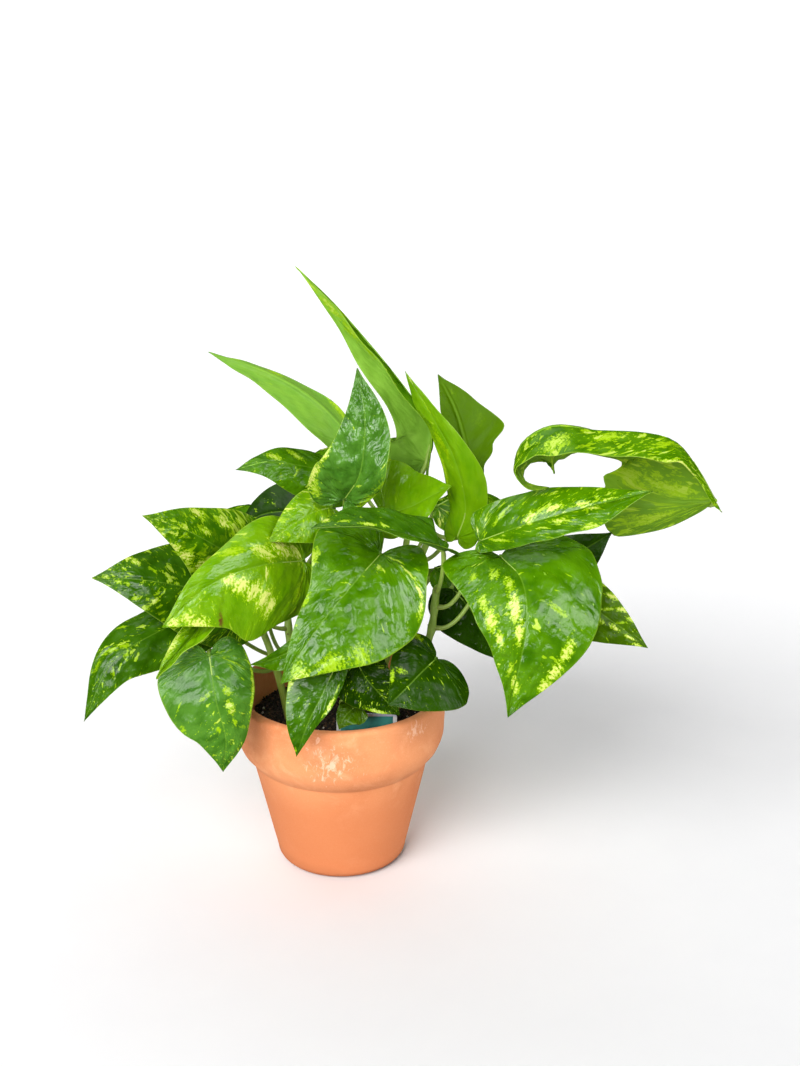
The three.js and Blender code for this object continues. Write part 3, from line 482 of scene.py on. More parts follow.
class Finish(Graph):
    """A material and its node tree."""

    def __init__(self, name: str, **constants: Any) -> None:
        """Makes an empty material.

        Args:
            name: the material's name.
            **constants: values that are the same all over, by the shader's input names, with _ for a space.
        """
        self.material = bpy.data.materials.new(name)
        self.material.use_nodes = True
        super().__init__(self.material.node_tree)
        self.tree.nodes.clear()
        self.shader = self.node("ShaderNodeBsdfPrincipled")
        self.node("ShaderNodeOutputMaterial", {"Surface": self.shader.outputs["BSDF"]})
        for key, value in constants.items():
            self.shader.inputs[key.replace("_", " ")].default_value = value

    def attribute(self, name: str, part: str = "Vector") -> Socket:
        """The vector that the mesh holds under a name, or its number where the part is Fac."""
        return self.node("ShaderNodeAttribute", attribute_name=name).outputs[part]

    def place(self) -> Socket:
        """The place on the piece in metres."""
        return self.node("ShaderNodeTexCoord").outputs["Object"]

    def coats(self, colour: Any, *coats: tuple[Any, Any]) -> Socket:
        """A colour under others.

        Args:
            colour: the lowest colour.
            *coats: how much of each further one there is, with the colour.

        Returns:
            The colour that shows.
        """
        for share, coat in coats:
            colour = self.out("ShaderNodeMix", {"Factor": share, "A": colour, "B": coat}, data_type="RGBA")
        return colour

    def bumps(self, *layers: tuple[Any, float, float]) -> Socket:
        """A normal tilted by heights that are laid over each other.

        Args:
            *layers: each height, with how many metres a height of 1 is and how much of it shows.

        Returns:
            The normal.
        """
        under = {}
        for height, depth, strength in layers:
            inputs = {"Height": height, "Distance": depth, "Strength": strength}
            under = {"Normal": self.out("ShaderNodeBump", inputs | under)}
        return under["Normal"]

    def wear(self, **inputs: Any) -> bpy.types.Material:
        """Feeds the shader.

        Args:
            **inputs: sockets by the shader's input names, with _ for a space.

        Returns:
            The finished material.
        """
        for key, value in inputs.items():
            self.feed(self.shader, key.replace("_", " "), value)
        return self.material


class Shape(Graph):
    """A Geometry Nodes tree with named inputs, which is turned into a plain mesh."""

    def __init__(self, name: str) -> None:
        """Makes a tree with a geometry input and output.

        Args:
            name: the tree's name.
        """
        super().__init__(bpy.data.node_groups.new(name, "GeometryNodeTree"))
        for way in ("INPUT", "OUTPUT"):
            self.tree.interface.new_socket("Geometry", in_out=way, socket_type="NodeSocketGeometry")
        self.entry = self.tree.nodes.new("NodeGroupInput")
        self.exit = self.tree.nodes.new("NodeGroupOutput")
        self.source = self.entry.outputs["Geometry"]

    def given(self, name: str, kind: str, value: Any = None) -> Socket:
        """Adds a named input.

        Args:
            name: its name.
            kind: its type, such as Float, Int or Material.
            value: its first value.

        Returns:
            The socket to link from.
        """
        item = self.tree.interface.new_socket(name, in_out="INPUT", socket_type="NodeSocket" + kind)
        if value is not None:
            item.default_value = value
        return self.entry.outputs[name]

    def named(self, name: str) -> Socket:
        """The number that the mesh holds under a name."""
        return self.out("GeometryNodeInputNamedAttribute", {"Name": name}, data_type="FLOAT")

    def random(self, kind: str, seed: Any, low: Any, high: Any) -> Socket:
        """A random value of a data type for each copy, between low and high."""
        return self.out("FunctionNodeRandomValue", {"Min": low, "Max": high, "Seed": seed}, data_type=kind)

    def strew(self, ground: Any, spots: dict[str, Any], copy: dict[str, Any], mark: str, value: Any,
              material: Socket) -> None:
        """Strews copies of a body over the faces of a mesh, and ends the tree with both.

        Args:
            ground: the mesh.
            spots: how the copies are spread, by the inputs of Distribute Points on Faces.
            copy: the body and how it is turned and scaled, by the inputs of Instance on Points.
            mark: the name of a number that each copy holds.
            value: that number.
            material: the input of the material of both.
        """
        spread = self.node("GeometryNodeDistributePointsOnFaces", {"Mesh": ground, **spots},
                           distribute_method="POISSON")
        inputs = {"Points": spread.outputs["Points"], "Rotation": spread.outputs["Rotation"], **copy}
        inputs = {"Geometry": self.out("GeometryNodeInstanceOnPoints", inputs), "Name": mark, "Value": value}
        copies = self.out("GeometryNodeStoreNamedAttribute", inputs, data_type="FLOAT", domain="INSTANCE")
        joined = self.node("GeometryNodeJoinGeometry")
        for geometry in (ground, copies):
            self.tree.links.new(geometry, joined.inputs["Geometry"])
        self.close(joined.outputs["Geometry"], material)

    def close(self, geometry: Socket, material: Socket) -> None:
        """Ends the tree: copies made real, smooth faces, one material.

        Args:
            geometry: what is made.
            material: its material's input.
        """
        real = self.out("GeometryNodeRealizeInstances", {"Geometry": geometry})
        smooth = self.out("GeometryNodeSetShadeSmooth", {"Geometry": real})
        done = self.out("GeometryNodeSetMaterial", {"Geometry": smooth, "Material": material})
        self.feed(self.exit, "Geometry", done)

    def bake(self, name: str, source: bpy.types.Mesh, **values: Any) -> bpy.types.Object:
        """Runs the tree on a mesh.

        Args:
            name: the new piece's name.
            source: the mesh that goes in.
            **values: the tree's inputs by name, with _ for a space.

        Returns:
            A plain mesh object.
        """
        stand_in = shown("from_" + name, source)
        modifier = stand_in.modifiers.new("shape", "NODES")
        modifier.node_group = self.tree
        for item in self.tree.interface.items_tree:
            key = item.name.replace(" ", "_")
            if item.in_out == "INPUT" and key in values:
                modifier[item.identifier] = values[key]
        graph = bpy.context.evaluated_depsgraph_get()
        evaluated = stand_in.evaluated_get(graph)
        mesh = bpy.data.meshes.new_from_object(evaluated, preserve_all_data_layers=True, depsgraph=graph)
        stand_in.modifiers.remove(modifier)
        bpy.data.objects.remove(stand_in)
        return shown(name, mesh)


# ---- meshes ----
def shown(name: str, data: Any) -> bpy.types.Object:
    """An object at the origin that shows a mesh, light or camera.

    Args:
        name: its name.
        data: what it shows.

    Returns:
        The object.
    """
    made = bpy.data.objects.new(name, data)
    bpy.context.scene.collection.objects.link(made)
    return made


def mesh_of(name: str, points: np.ndarray, faces: Sequence[Sequence[int]] = (),
            edges: Sequence[Sequence[int]] = (), **values: np.ndarray) -> bpy.types.Mesh:
    """A mesh with values at its points.

    Args:
        name: its name.
        points: its points in metres.
        faces: its faces.
        edges: edges that no face has.
        **values: what it holds at each point, a number or a vector each.

    Returns:
        The mesh, smooth.
    """
    made = bpy.data.meshes.new(name)
    made.from_pydata(np.asarray(points).tolist(), edges, faces)
    for key, array in values.items():
        flat = array.ndim == 1
        layer = made.attributes.new(key, "FLOAT" if flat else "FLOAT_VECTOR", "POINT")
        layer.data.foreach_set("value" if flat else "vector", np.asarray(array, np.float32).ravel())
    made.shade_smooth()
    made.update()
    return made


def thread(name: str, points: np.ndarray, **values: np.ndarray) -> bpy.types.Mesh:
    """A mesh of points joined in a row by edges, with values at its points."""
    return mesh_of(name, points, edges=[(i, i + 1) for i in range(len(points) - 1)], **values)


def pot_middle() -> tuple[float, float]:
    """Where the pot stands in the row's frame, in metres."""
    low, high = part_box("pot")
    return (low.x + high.x) / 2, (low.y + high.y) / 2


def placed(points: Any) -> np.ndarray:
    """Points in millimetres from the pot's middle as an array of points in metres in the row's frame."""
    return np.asarray(points, float) * MM + np.array([*pot_middle(), 0.0])


def dressed(piece: bpy.types.Object, slot: str, *nodes: str) -> bpy.types.Object:
    """Hands a piece to the frame and reports it.

    Args:
        piece: the piece.
        slot: the slot that its finish would come from; it is not used.
        *nodes: the nodes that it stands for.

    Returns:
        The piece.
    """
    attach(piece, BODY)
    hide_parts(*nodes)
    LOG.info("%s: %d faces for %s", piece.name, len(piece.data.polygons), ", ".join(nodes))
    return piece


def unit(vectors: np.ndarray) -> np.ndarray:
    """Vectors at length 1."""
    return vectors / np.maximum(np.linalg.norm(vectors, axis=-1, keepdims=True), 1e-12)


def square_to(vectors: np.ndarray, axes: np.ndarray) -> np.ndarray:
    """The parts of vectors square to unit axes, at length 1."""
    return unit(vectors - (vectors * axes).sum(-1, keepdims=True) * axes)


def eased(value: np.ndarray, low: float, high: float) -> np.ndarray:
    """A smooth step from 0 at low to 1 at high."""
    share = np.clip((value - low) / (high - low), 0, 1)
    return share * share * (3 - 2 * share)


def swell(distance: np.ndarray, size: float = 1.0) -> np.ndarray:
    """A soft bulge of 1 at no distance that fades out over about its size."""
    return np.exp(-((distance / size) ** 2))


def spline(points: Any, steps: int) -> np.ndarray:
    """A uniform Catmull-Rom curve through points.

    Args:
        points: the points.
        steps: how many parts each span is cut in.

    Returns:
        The curve's points.
    """
    given = np.asarray(points, float)
    given = np.vstack([2 * given[0] - given[1], given, 2 * given[-1] - given[-2]])
    t = np.linspace(0, 1, steps, endpoint=False)[:, None]
    spans = [
        0.5 * (2 * b + (c - a) * t + (2 * a - 5 * b + 4 * c - d) * t**2 + (3 * b - a - 3 * c + d) * t**3)
        for a, b, c, d in zip(given, given[1:], given[2:], given[3:])
    ]
    return np.vstack([*spans, given[-2]])


class Line:
    """A curve in space that is read by share of its length."""

    def __init__(self, points: np.ndarray) -> None:
        """Takes the curve's close points.

        Args:
            points: the points in order.
        """
        self.points = points
        steps = np.linalg.norm(np.diff(points, axis=0), axis=1)
        self.run = np.concatenate([[0], np.cumsum(steps)])
        self.length = float(self.run[-1])
        self.slopes = unit(np.gradient(points, self.run, axis=0))

    def read(self, values: np.ndarray, share: Any) -> np.ndarray:
        """Values along the curve at shares of its length."""
        at = np.clip(share, 0, 1) * self.length
        return np.stack([np.interp(at, self.run, column) for column in values.T], -1)

    def at(self, share: Any) -> np.ndarray:
        """The point at a share of the length, straight on behind the start for a negative one."""
        behind = np.minimum(share, 0)
        return self.read(self.points, share) + np.asarray(behind)[..., None] * self.length * self.slopes[0]

    def slope(self, share: Any) -> np.ndarray:
        """The direction at a share of the length."""
        return unit(self.read(self.slopes, share))


# ---- the blades ----
class HalfBlade:
    """One half of a blade: which way it lies and how wide it is along the midrib."""

    CUTS = 161

    def __init__(self, line: Line, reach: Stations | Point, curl: float, hand: int) -> None:
        """Works out the half's direction and width all along the midrib.

        Args:
            line: the midrib.
            reach: shares of the midrib and the points that the half reaches towards, or one point alone.
            curl: how far it arches, in degrees.
            hand: 1 for the right half, -1 for the left one.
        """
        self.line = line
        self.hand = hand
        self.curl = math.radians(curl)
        self.arch = self.curl / 2 / math.sin(self.curl / 2) if curl else 1.0
        self.shares = np.linspace(0, 1, self.CUTS)
        slopes = line.slope(self.shares)
        stations = reach if isinstance(reach[0], tuple) else ((WIDEST, reach),)
        places = np.array([share for share, _ in stations])
        along = line.slope(places)
        across = np.array([point for _, point in stations], float) - line.at(places)
        across -= (across * along).sum(1, keepdims=True) * along
        widths = np.linalg.norm(across, axis=1)
        sides = across / widths[:, None]
        if len(stations) == 1:
            self.sides = self.carried(sides[0], int(round(places[0] * (self.CUTS - 1))), slopes)
            self.widths = np.full(self.CUTS, widths[0])
            return
        held = np.clip(self.shares, places[0], places[-1])
        nexts = np.clip(np.searchsorted(places, held), 1, len(places) - 1)
        before = nexts - 1
        share = eased((held - places[before]) / (places[nexts] - places[before]), 0, 1)
        self.sides = square_to(sides[before] + (sides[nexts] - sides[before]) * share[:, None], slopes)
        self.widths = widths[before] + (widths[nexts] - widths[before]) * share

    def carried(self, side: np.ndarray, start: int, slopes: np.ndarray) -> np.ndarray:
        """A direction carried along the midrib without turning about it.

        Args:
            side: the direction.
            start: the cut that it belongs to.
            slopes: the midrib's direction at each cut.

        Returns:
            The direction at each cut.
        """
        made = np.empty_like(slopes)
        for order in (range(start, self.CUTS), range(start, -1, -1)):
            turned = side
            for i in order:
                turned = square_to(turned, slopes[i])
                made[i] = turned
        return made

    def at(self, share: np.ndarray, out: np.ndarray) -> tuple[np.ndarray, np.ndarray, np.ndarray]:
        """Points on the arched half.

        Args:
            share: shares of the midrib.
            out: shares of the half width.

        Returns:
            The points, the way up there on the glossy side, and the half width.
        """
        held = np.clip(share, 0, 1)
        side = unit(np.stack([np.interp(held, self.shares, column) for column in self.sides.T], -1))
        width = np.interp(held, self.shares, self.widths)
        up = np.cross(side, self.line.slope(held)) * self.hand
        flat, raised = out * width, np.zeros_like(out)
        if self.curl:
            start = self.curl / 2
            turn = start - self.curl * out
            flat = width * self.arch * (math.sin(start) - np.sin(turn)) / self.curl
            raised = width * self.arch * (np.cos(turn) - math.cos(start)) / self.curl
        return self.line.at(share) + side * flat[..., None] + up * raised[..., None], up, width


@dataclass
class Blade:
    """A heart-shaped blade with a grooved midrib and a quilted face.

    Sizes are in millimetres. sweep, bow and fullness shape the rows that run from the midrib to the outline,
    and crowding draws their points towards the midrib. thinning is how much thinner the margin is. pucker is
    how strong the small dents are beside the pillows between the veins. swells and ripples count the margin's
    long and short waves, and ripple says how high the short ones are.
    """

    name: str
    form: LeafForm
    look: LeafLook
    seed: int
    row_steps: int = 6
    columns: int = 20
    sweep: float = 0.28
    bow: float = 0.3
    fullness: float = 0.55
    crowding: float = 1.4
    last_column: float = 0.982
    thickness: float = 0.7
    thinning: float = 0.45
    groove: float = 0.55
    groove_width: float = 1.5
    keel: float = 1.0
    keel_width: float = 1.1
    quilting: float = 0.5
    pucker: float = 0.45
    pucker_sizes: tuple[float, float] = (1.0, 2.4)
    veins: float = 12.0
    waves: float = 1.1
    swells: float = 2.6
    ripples: float = 5.3
    ripple: float = 0.4

    def __post_init__(self) -> None:
        """Works out the midrib and the two halves."""
        self.midrib = Line(spline(self.form.midrib, 40))
        self.halves = tuple(
            HalfBlade(self.midrib, reach, curl, hand)
            for reach, curl, hand in zip((self.form.left, self.form.right), self.form.curl, (-1, 1))
        )

    def up(self) -> np.ndarray:
        """The way up at the base of the blade, on its glossy side."""
        return unit(sum(half.at(np.array([WIDEST]), np.zeros(1))[1][0] for half in self.halves))

    def rows(self) -> tuple[np.ndarray, np.ndarray, np.ndarray, np.ndarray]:
        """The flat lay of a half: rows that start on the midrib and sweep forward to the outline.

        Returns:
            Four grids: the share of the midrib, the share of the half width, the way out along the row, and
            the row's own share of the outline.
        """
        outline = spline(BLADE_OUTLINE, self.row_steps)
        outline[:, 1] = np.maximum(outline[:, 1], 0)
        far = np.where(outline[:, 0] < 0, outline[:, 0] * self.form.lobe, outline[:, 0])[:, None]
        wide = outline[:, 1][:, None]
        root = np.maximum(0, far - self.sweep * wide)
        middle = root + self.bow * (far - root)
        way = np.linspace(0, 1, self.columns + 1) ** self.crowding
        way = np.concatenate([way[:-1], [self.last_column, 1]])[None]
        back = 1 - way
        share = back * back * root + 2 * way * back * middle + way * way * far
        out = 2 * way * back * self.fullness * wide + way * way * wide
        row = np.linspace(0, 1, len(outline))[:, None]
        return share, out, np.broadcast_to(way, share.shape), np.broadcast_to(row, share.shape)

    def relief(self, lay: np.ndarray, flat: np.ndarray) -> np.ndarray:
        """How far the face stands off the plain arched sheet, in millimetres.

        Args:
            lay: at each point the way across, -1 to 1, and the row's share.
            flat: at each point the distance from the midrib and along it, in millimetres.

        Returns:
            The height at each point.
        """
        random = np.random.default_rng(self.seed)
        across, row = np.abs(lay[:, 0]), lay[:, 1]
        side = np.sign(lay[:, 0])
        fade = eased(np.abs(flat[:, 0]), 1.0, 6.0) * (1 - eased(across, 0.8, 1.0)) * (1 - eased(row, 0.8, 1))
        phase = random.uniform(0, 2 * math.pi, 8)
        beat = self.veins * math.pi * row + phase[0] + side * 0.8 + 0.9 * np.sin(4 * across + phase[1])
        pillows = (np.abs(np.sin(beat)) ** 0.7 - 0.5) * 1.2
        puckers = sum(
            np.sin(flat[:, 0] * math.cos(turn) / size + flat[:, 1] * math.sin(turn) / size + start)
            for turn, size, start in zip(phase[2:6], random.uniform(*self.pucker_sizes, 4), phase[3:7])
        )
        quilt = self.quilting * self.look.quilt * fade * (pillows + self.pucker * puckers)
        swells = np.sin(2 * math.pi * row * self.swells + phase[6] + side) * across**2
        ripples = np.sin(2 * math.pi * row * self.ripples + phase[7] * side) * across**4 * self.ripple
        wave = self.waves * (swells + ripples) * eased(row, 0.02, 0.15) * (1 - eased(row, 0.7, 0.95))
        return -self.groove * swell(flat[:, 0], self.groove_width) + quilt + wave

    def sheet(self) -> tuple[np.ndarray, list[tuple[int, ...]], np.ndarray, np.ndarray]:
        """The blade as one sheet facing the glossy way.

        Returns:
            Its points in millimetres, its faces, and at each point the lay and the flat place.
        """
        share, out, way, row = self.rows()
        points, lays, flats, quads = [], [], [], []
        count, width = share.shape
        for number, half in enumerate(self.halves):
            grid, _, wide = half.at(share, out)
            points.append(grid.reshape(-1, 3))
            lays.append(np.stack([way * half.hand, row], -1).reshape(-1, 2))
            flats.append(np.stack([out * wide * half.hand, share * self.midrib.length], -1).reshape(-1, 2))
            index = np.arange(count * width).reshape(count, width) + number * count * width
            quad = np.stack([index[:-1, :-1], index[:-1, 1:], index[1:, 1:], index[1:, :-1]], -1)
            quads.append(quad[..., ::half.hand].reshape(-1, 4))
        points, lays, flats = np.vstack(points), np.vstack(lays), np.vstack(flats)
        _, first, same = np.unique(np.round(points, 4), axis=0, return_index=True, return_inverse=True)
        faces = []
        for quad in same.reshape(-1)[np.vstack(quads)].tolist():
            face = tuple(c for i, c in enumerate(quad) if c != quad[i - 1])
            if len(set(face)) > 2:
                faces.append(face)
        return points[first], faces, lays[first], flats[first]

    @staticmethod
    def normals(points: np.ndarray, faces: Sequence[Sequence[int]]) -> np.ndarray:
        """Smooth normals at a sheet's points.

        Args:
            points: the points.
            faces: the faces.

        Returns:
            A unit vector for each point.
        """
        triangles = np.array([(f[0], f[i], f[i + 1]) for f in faces for i in range(1, len(f) - 1)])
        a, b, c = (points[triangles[:, k]] for k in range(3))
        total = np.zeros_like(points)
        for k in range(3):
            np.add.at(total, triangles[:, k], np.cross(b - a, c - a))
        return unit(total)

    def mesh(self) -> bpy.types.Mesh:
        """The blade as a closed body that holds its lay and its flat place for the finish.

        Returns:
            The mesh.
        """
        points, faces, lay, flat = self.sheet()
        points = points + self.normals(points, faces) * self.relief(lay, flat)[:, None]
        up = self.normals(points, faces)
        thin = 1 - self.thinning * eased(np.abs(lay[:, 0]), 0.5, 1.0)
        half = self.thickness / 2 * thin[:, None]
        keel = self.keel * swell(flat[:, 0], self.keel_width) * (1 - eased(lay[:, 1], 0.75, 1.0))
        top, bottom = points + up * half, points - up * (half + keel[:, None])
        count = len(points)
        used = {(f[i - 1], f[i]) for f in faces for i in range(len(f))}
        rims = [(a, b) for a, b in used if (b, a) not in used]
        whole = [*faces, *(tuple(c + count for c in reversed(f)) for f in faces)]
        whole += [(b, a, a + count, b + count) for a, b in rims]
        face = np.concatenate([np.ones(count), -np.ones(count)])[:, None]
        lays = np.hstack([np.vstack([lay, lay]), face])
        flats = np.hstack([np.vstack([flat, flat]), 0 * face])
        return mesh_of("leaf_" + self.name, placed(np.vstack([top, bottom])), whole, lay=lays, flat=flats)

    def build(self) -> bpy.types.Object:
        """The finished blade.

        Returns:
            The piece.
        """
        leaf = "leaf_" + self.name
        piece = shown("blade_" + self.name, self.mesh())
        piece.data.materials.append(LeafSkin(leaf, self.look, self.seed).finished())
        return dressed(piece, "leaf", leaf)


class LeafSkin(Finish):
    """The glossy top of a leaf with its pale markings, and its matte underside."""

    LIME = paint(134, 172, 6)
    CREAM = paint(194, 202, 104)
    VEIN = paint(118, 160, 44)
    MARGIN = paint(150, 182, 52)
    SCAR = paint(93, 61, 23)
    NOISE_SPREAD = 0.105
    SEED_STEP = 7.31
    HALF_STEP = 3.7
    FLECK_EDGE = 0.05
    BLOTCH_EDGE = 0.12
    UNDER_ROUGHER = 0.2

    def __init__(self, name: str, look: LeafLook, seed: int) -> None:
        """Starts the material with the patterns that its parts share.

        Args:
            name: its name.
            look: the blade's look.
            seed: what sets its random patterns apart from the other leaves'.
        """
        super().__init__(name, Specular_IOR_Level=look.shine, IOR=1.45)
        self.look = look
        self.lay, self.flat = self.attribute("lay"), self.attribute("flat")
        across, self.row, self.face = self.split(self.lay)
        self.way = self.maths("ABSOLUTE", across)
        side = self.maths("SIGN", across)
        self.shift = self.maths("MULTIPLY_ADD", side, self.HALF_STEP, seed * self.SEED_STEP)
        self.fine = self.streaks(3.0, 44, 3)
        self.broad = self.streaks(1.3, 12, 3)
        self.speck = self.streaks(10, 130, 2)
        self.mottle = self.noise(self.flat, 0.07, 2, 0.5, 0.2)
        stipple = self.maths("MULTIPLY", self.noise(self.flat, 0.55, 3, 0.7), 0.5)
        grit = self.maths("ADD", self.maths("MULTIPLY", self.speck, 0.3), stipple)
        self.grit = self.maths("ADD", grit, 0.1)

    def streaks(self, across: float, along: float, detail: float) -> Socket:
        """Random values drawn out along the side veins.

        Args:
            across: how fine the values are along a side vein.
            along: how fine they are from vein to vein.
            detail: how many finer layers there are.

        Returns:
            The value.
        """
        way, row = self.maths("MULTIPLY", self.way, across), self.maths("MULTIPLY", self.row, along)
        return self.noise(self.join(way, row, self.shift), 1.0, detail, 0.58, 0.35)

    def level(self, cover: float) -> float:
        """The noise value above which that share of the blade lies."""
        return 0.5 + self.NOISE_SPREAD * NormalDist().inv_cdf(1 - min(max(cover, 0.002), 0.9))

    def flecks(self, pattern: Socket, cover: float, *thickest: float) -> Socket:
        """Small marks that are thickest where the broad streaks are high.

        Args:
            pattern: the value that they follow.
            cover: how much of the blade they cover, from 0 to 1.
            *thickest: the ramp that the broad streaks go through.

        Returns:
            A value from 0 to 1.
        """
        start = self.level(cover)
        marks = self.ramp(pattern, start, start + self.FLECK_EDGE)
        return self.maths("MULTIPLY", marks, self.ramp(self.broad, *thickest))

    def marking(self, patch: Patch) -> Socket:
        """How strongly one marking shows: streaks that close up towards its middle.

        Args:
            patch: the marking.

        Returns:
            A value from 0 to 1.
        """
        away = self.away(self.lay, (patch.across, patch.along, 0), (1 / patch.wide, 1 / patch.long, 0))
        return self.ramp(self.maths("MULTIPLY_ADD", away, -0.2, self.grit), 0.25, 0.47, 0.0, patch.pale)

    def markings(self) -> Socket:
        """How pale the blade is at each place.

        Returns:
            A value from 0 to 1.
        """
        look = self.look
        flecks = self.maths("MAXIMUM", self.flecks(self.fine, look.flecks, 0.36, 0.56, 0.25, 0.9),
                            self.flecks(self.speck, look.flecks * 0.7, 0.4, 0.6, 0.1, 0.7))
        frayed = self.broad
        for pattern, strength in ((self.speck, 0.3), (self.fine, 0.55)):
            frayed = self.maths("MULTIPLY_ADD", self.maths("SUBTRACT", pattern, 0.5), strength, frayed)
        start = self.level(look.blotches)
        blotches = self.ramp(frayed, start, start + self.BLOTCH_EDGE)
        pale = self.maths("MAXIMUM", self.maths("MULTIPLY", flecks, 0.8), blotches)
        for patch in look.patches:
            pale = self.maths("MAXIMUM", pale, self.marking(Patch(*patch)))
        return self.maths("MULTIPLY", pale, self.ramp(self.speck, 0.32, 0.5, 0.6, 1.0), clamp=True)

    def colours(self) -> tuple[Socket, Socket]:
        """The colours of the two faces.

        Returns:
            The top's and the underside's.
        """
        look = self.look
        deep, bright, under = look.tone.value
        pale = self.markings()
        beside = self.maths("ABSOLUTE", self.split(self.flat)[0])
        towards_tip = self.ramp(self.row, 0.75, 1.0, 1.0, 0.0)
        rib = self.maths("MULTIPLY", self.ramp(beside, 0.15, 0.8, 0.3, 0.0), towards_tip)
        edge = self.ramp(self.way, 0.975, 0.998, 0.0, look.rim)
        top = self.coats(
            deep,
            (self.ramp(self.mottle, 0.32, 0.68, 0.0, 0.6), bright),
            (self.ramp(self.broad, 0.36, 0.66, 0.0, 0.5), bright),
            (self.ramp(pale, 0.05, 0.55), self.LIME),
            (self.ramp(pale, 0.5, 1.0), self.CREAM),
            (rib, self.VEIN),
            (edge, self.MARGIN),
            *((self.marking(Patch(*scar)), self.SCAR) for scar in look.scars),
        )
        seen = self.maths("MULTIPLY", pale, look.through)
        lower = self.coats(
            under,
            (self.ramp(self.mottle, 0.3, 0.7, 0.0, 0.35), bright),
            (self.ramp(self.broad, 0.4, 0.62, 0.0, 0.35), bright),
            # painted shade: the underside darker towards the base of the blade
            (self.ramp(self.row, 0.12, 0.55, 0.4, 0.0), deep),
            (self.ramp(seen, 0.05, 0.6), self.LIME),
            (self.ramp(seen, 0.6, 1.0), self.CREAM),
            (self.maths("MULTIPLY", rib, 0.8), self.VEIN),
            (edge, self.MARGIN),
        )
        return top, lower

    def finished(self) -> bpy.types.Material:
        """Puts the faces together.

        Returns:
            The material.
        """
        look = self.look
        top, lower = self.colours()
        below = self.ramp(self.face, -0.3, 0.3, 1.0, 0.0)
        normal = self.bumps(
            (self.streaks(2.4, 19, 2), 0.0022 * look.quilt, 0.7),
            (self.noise(self.flat, 0.2, 2, 0.45, 0.4), 0.0007 * look.quilt, 0.6),
            (self.noise(self.flat, 1.6, 2, 0.6), 0.00012, 0.6),
            (self.noise(self.flat, 9.0, 1, 0.5), 0.00002, 0.5),
        )
        gloss = self.ramp(self.mottle, 0.3, 0.75, look.roughness - 0.05, look.roughness + 0.08)
        gloss = self.maths("MULTIPLY_ADD", below, self.UNDER_ROUGHER, gloss)
        return self.wear(Base_Color=self.coats(top, (below, lower)), Roughness=gloss, Normal=normal)


# ---- the stems ----
@dataclass(frozen=True)
class StemSkin:
    """The smooth green skin of vines and petioles."""

    young: Colour = paint(138, 168, 62)
    old: Colour = paint(112, 128, 48)
    streak: Colour = paint(176, 196, 104)
    bark: Colour = paint(122, 96, 58)

    def material(self) -> bpy.types.Material:
        """Builds the material.

        Returns:
            The material.
        """
        graph = Finish("stem_skin", Coat_Weight=0.1, Coat_Roughness=0.35)
        place = graph.place()
        grain = graph.noise(graph.vector("MULTIPLY", place, (1, 1, 0.12)), 1500, 2, 0.5)
        cloud = graph.noise(place, 70, 3, 0.55)
        colour = graph.coats(
            self.old,
            (graph.ramp(graph.attribute("run", "Fac"), 0.0, 0.7), self.young),
            (graph.ramp(grain, 0.5, 0.75, 0.0, 0.45), self.streak),
            (graph.ramp(cloud, 0.55, 0.75, 0.0, 0.4), self.old),
            (graph.attribute("bark", "Fac"), self.bark),
        )
        normal = graph.bumps((grain, 0.00012, 0.6))
        return graph.wear(Base_Color=colour, Roughness=graph.ramp(cloud, 0.3, 0.7, 0.38, 0.52), Normal=normal)


class StemTree(Shape):
    """A round stem along the mesh's edges, as thick as its girth at each point says, with small buds."""

    def __init__(self) -> None:
        """Builds the tree: its inputs are Sides, Nub size, Seed and Skin."""
        super().__init__("stem along a path")
        sides = self.given("Sides", "Int", 12)
        nub = self.given("Nub size", "Float", 0.0)
        seed = self.given("Seed", "Int", 1)
        skin = self.given("Skin", "Material")
        path = self.out("GeometryNodeMeshToCurve", {"Mesh": self.source})
        ring = self.out("GeometryNodeCurvePrimitiveCircle", {"Resolution": sides, "Radius": 1.0})
        inputs = {"Curve": path, "Profile Curve": ring, "Scale": self.named("girth"), "Fill Caps": True}
        stem = self.out("GeometryNodeCurveToMesh", inputs)
        spots = {"Distance Min": 0.0022, "Density Max": 60000.0, "Density Factor": self.named("joint"),
                 "Seed": seed}
        bud = self.out("GeometryNodeMeshIcoSphere", {"Radius": nub, "Subdivisions": 2})
        size = self.random("FLOAT", seed, 0.5, 1.2)
        self.strew(stem, spots, {"Instance": bud, "Scale": size}, "bark", 0.8, skin)


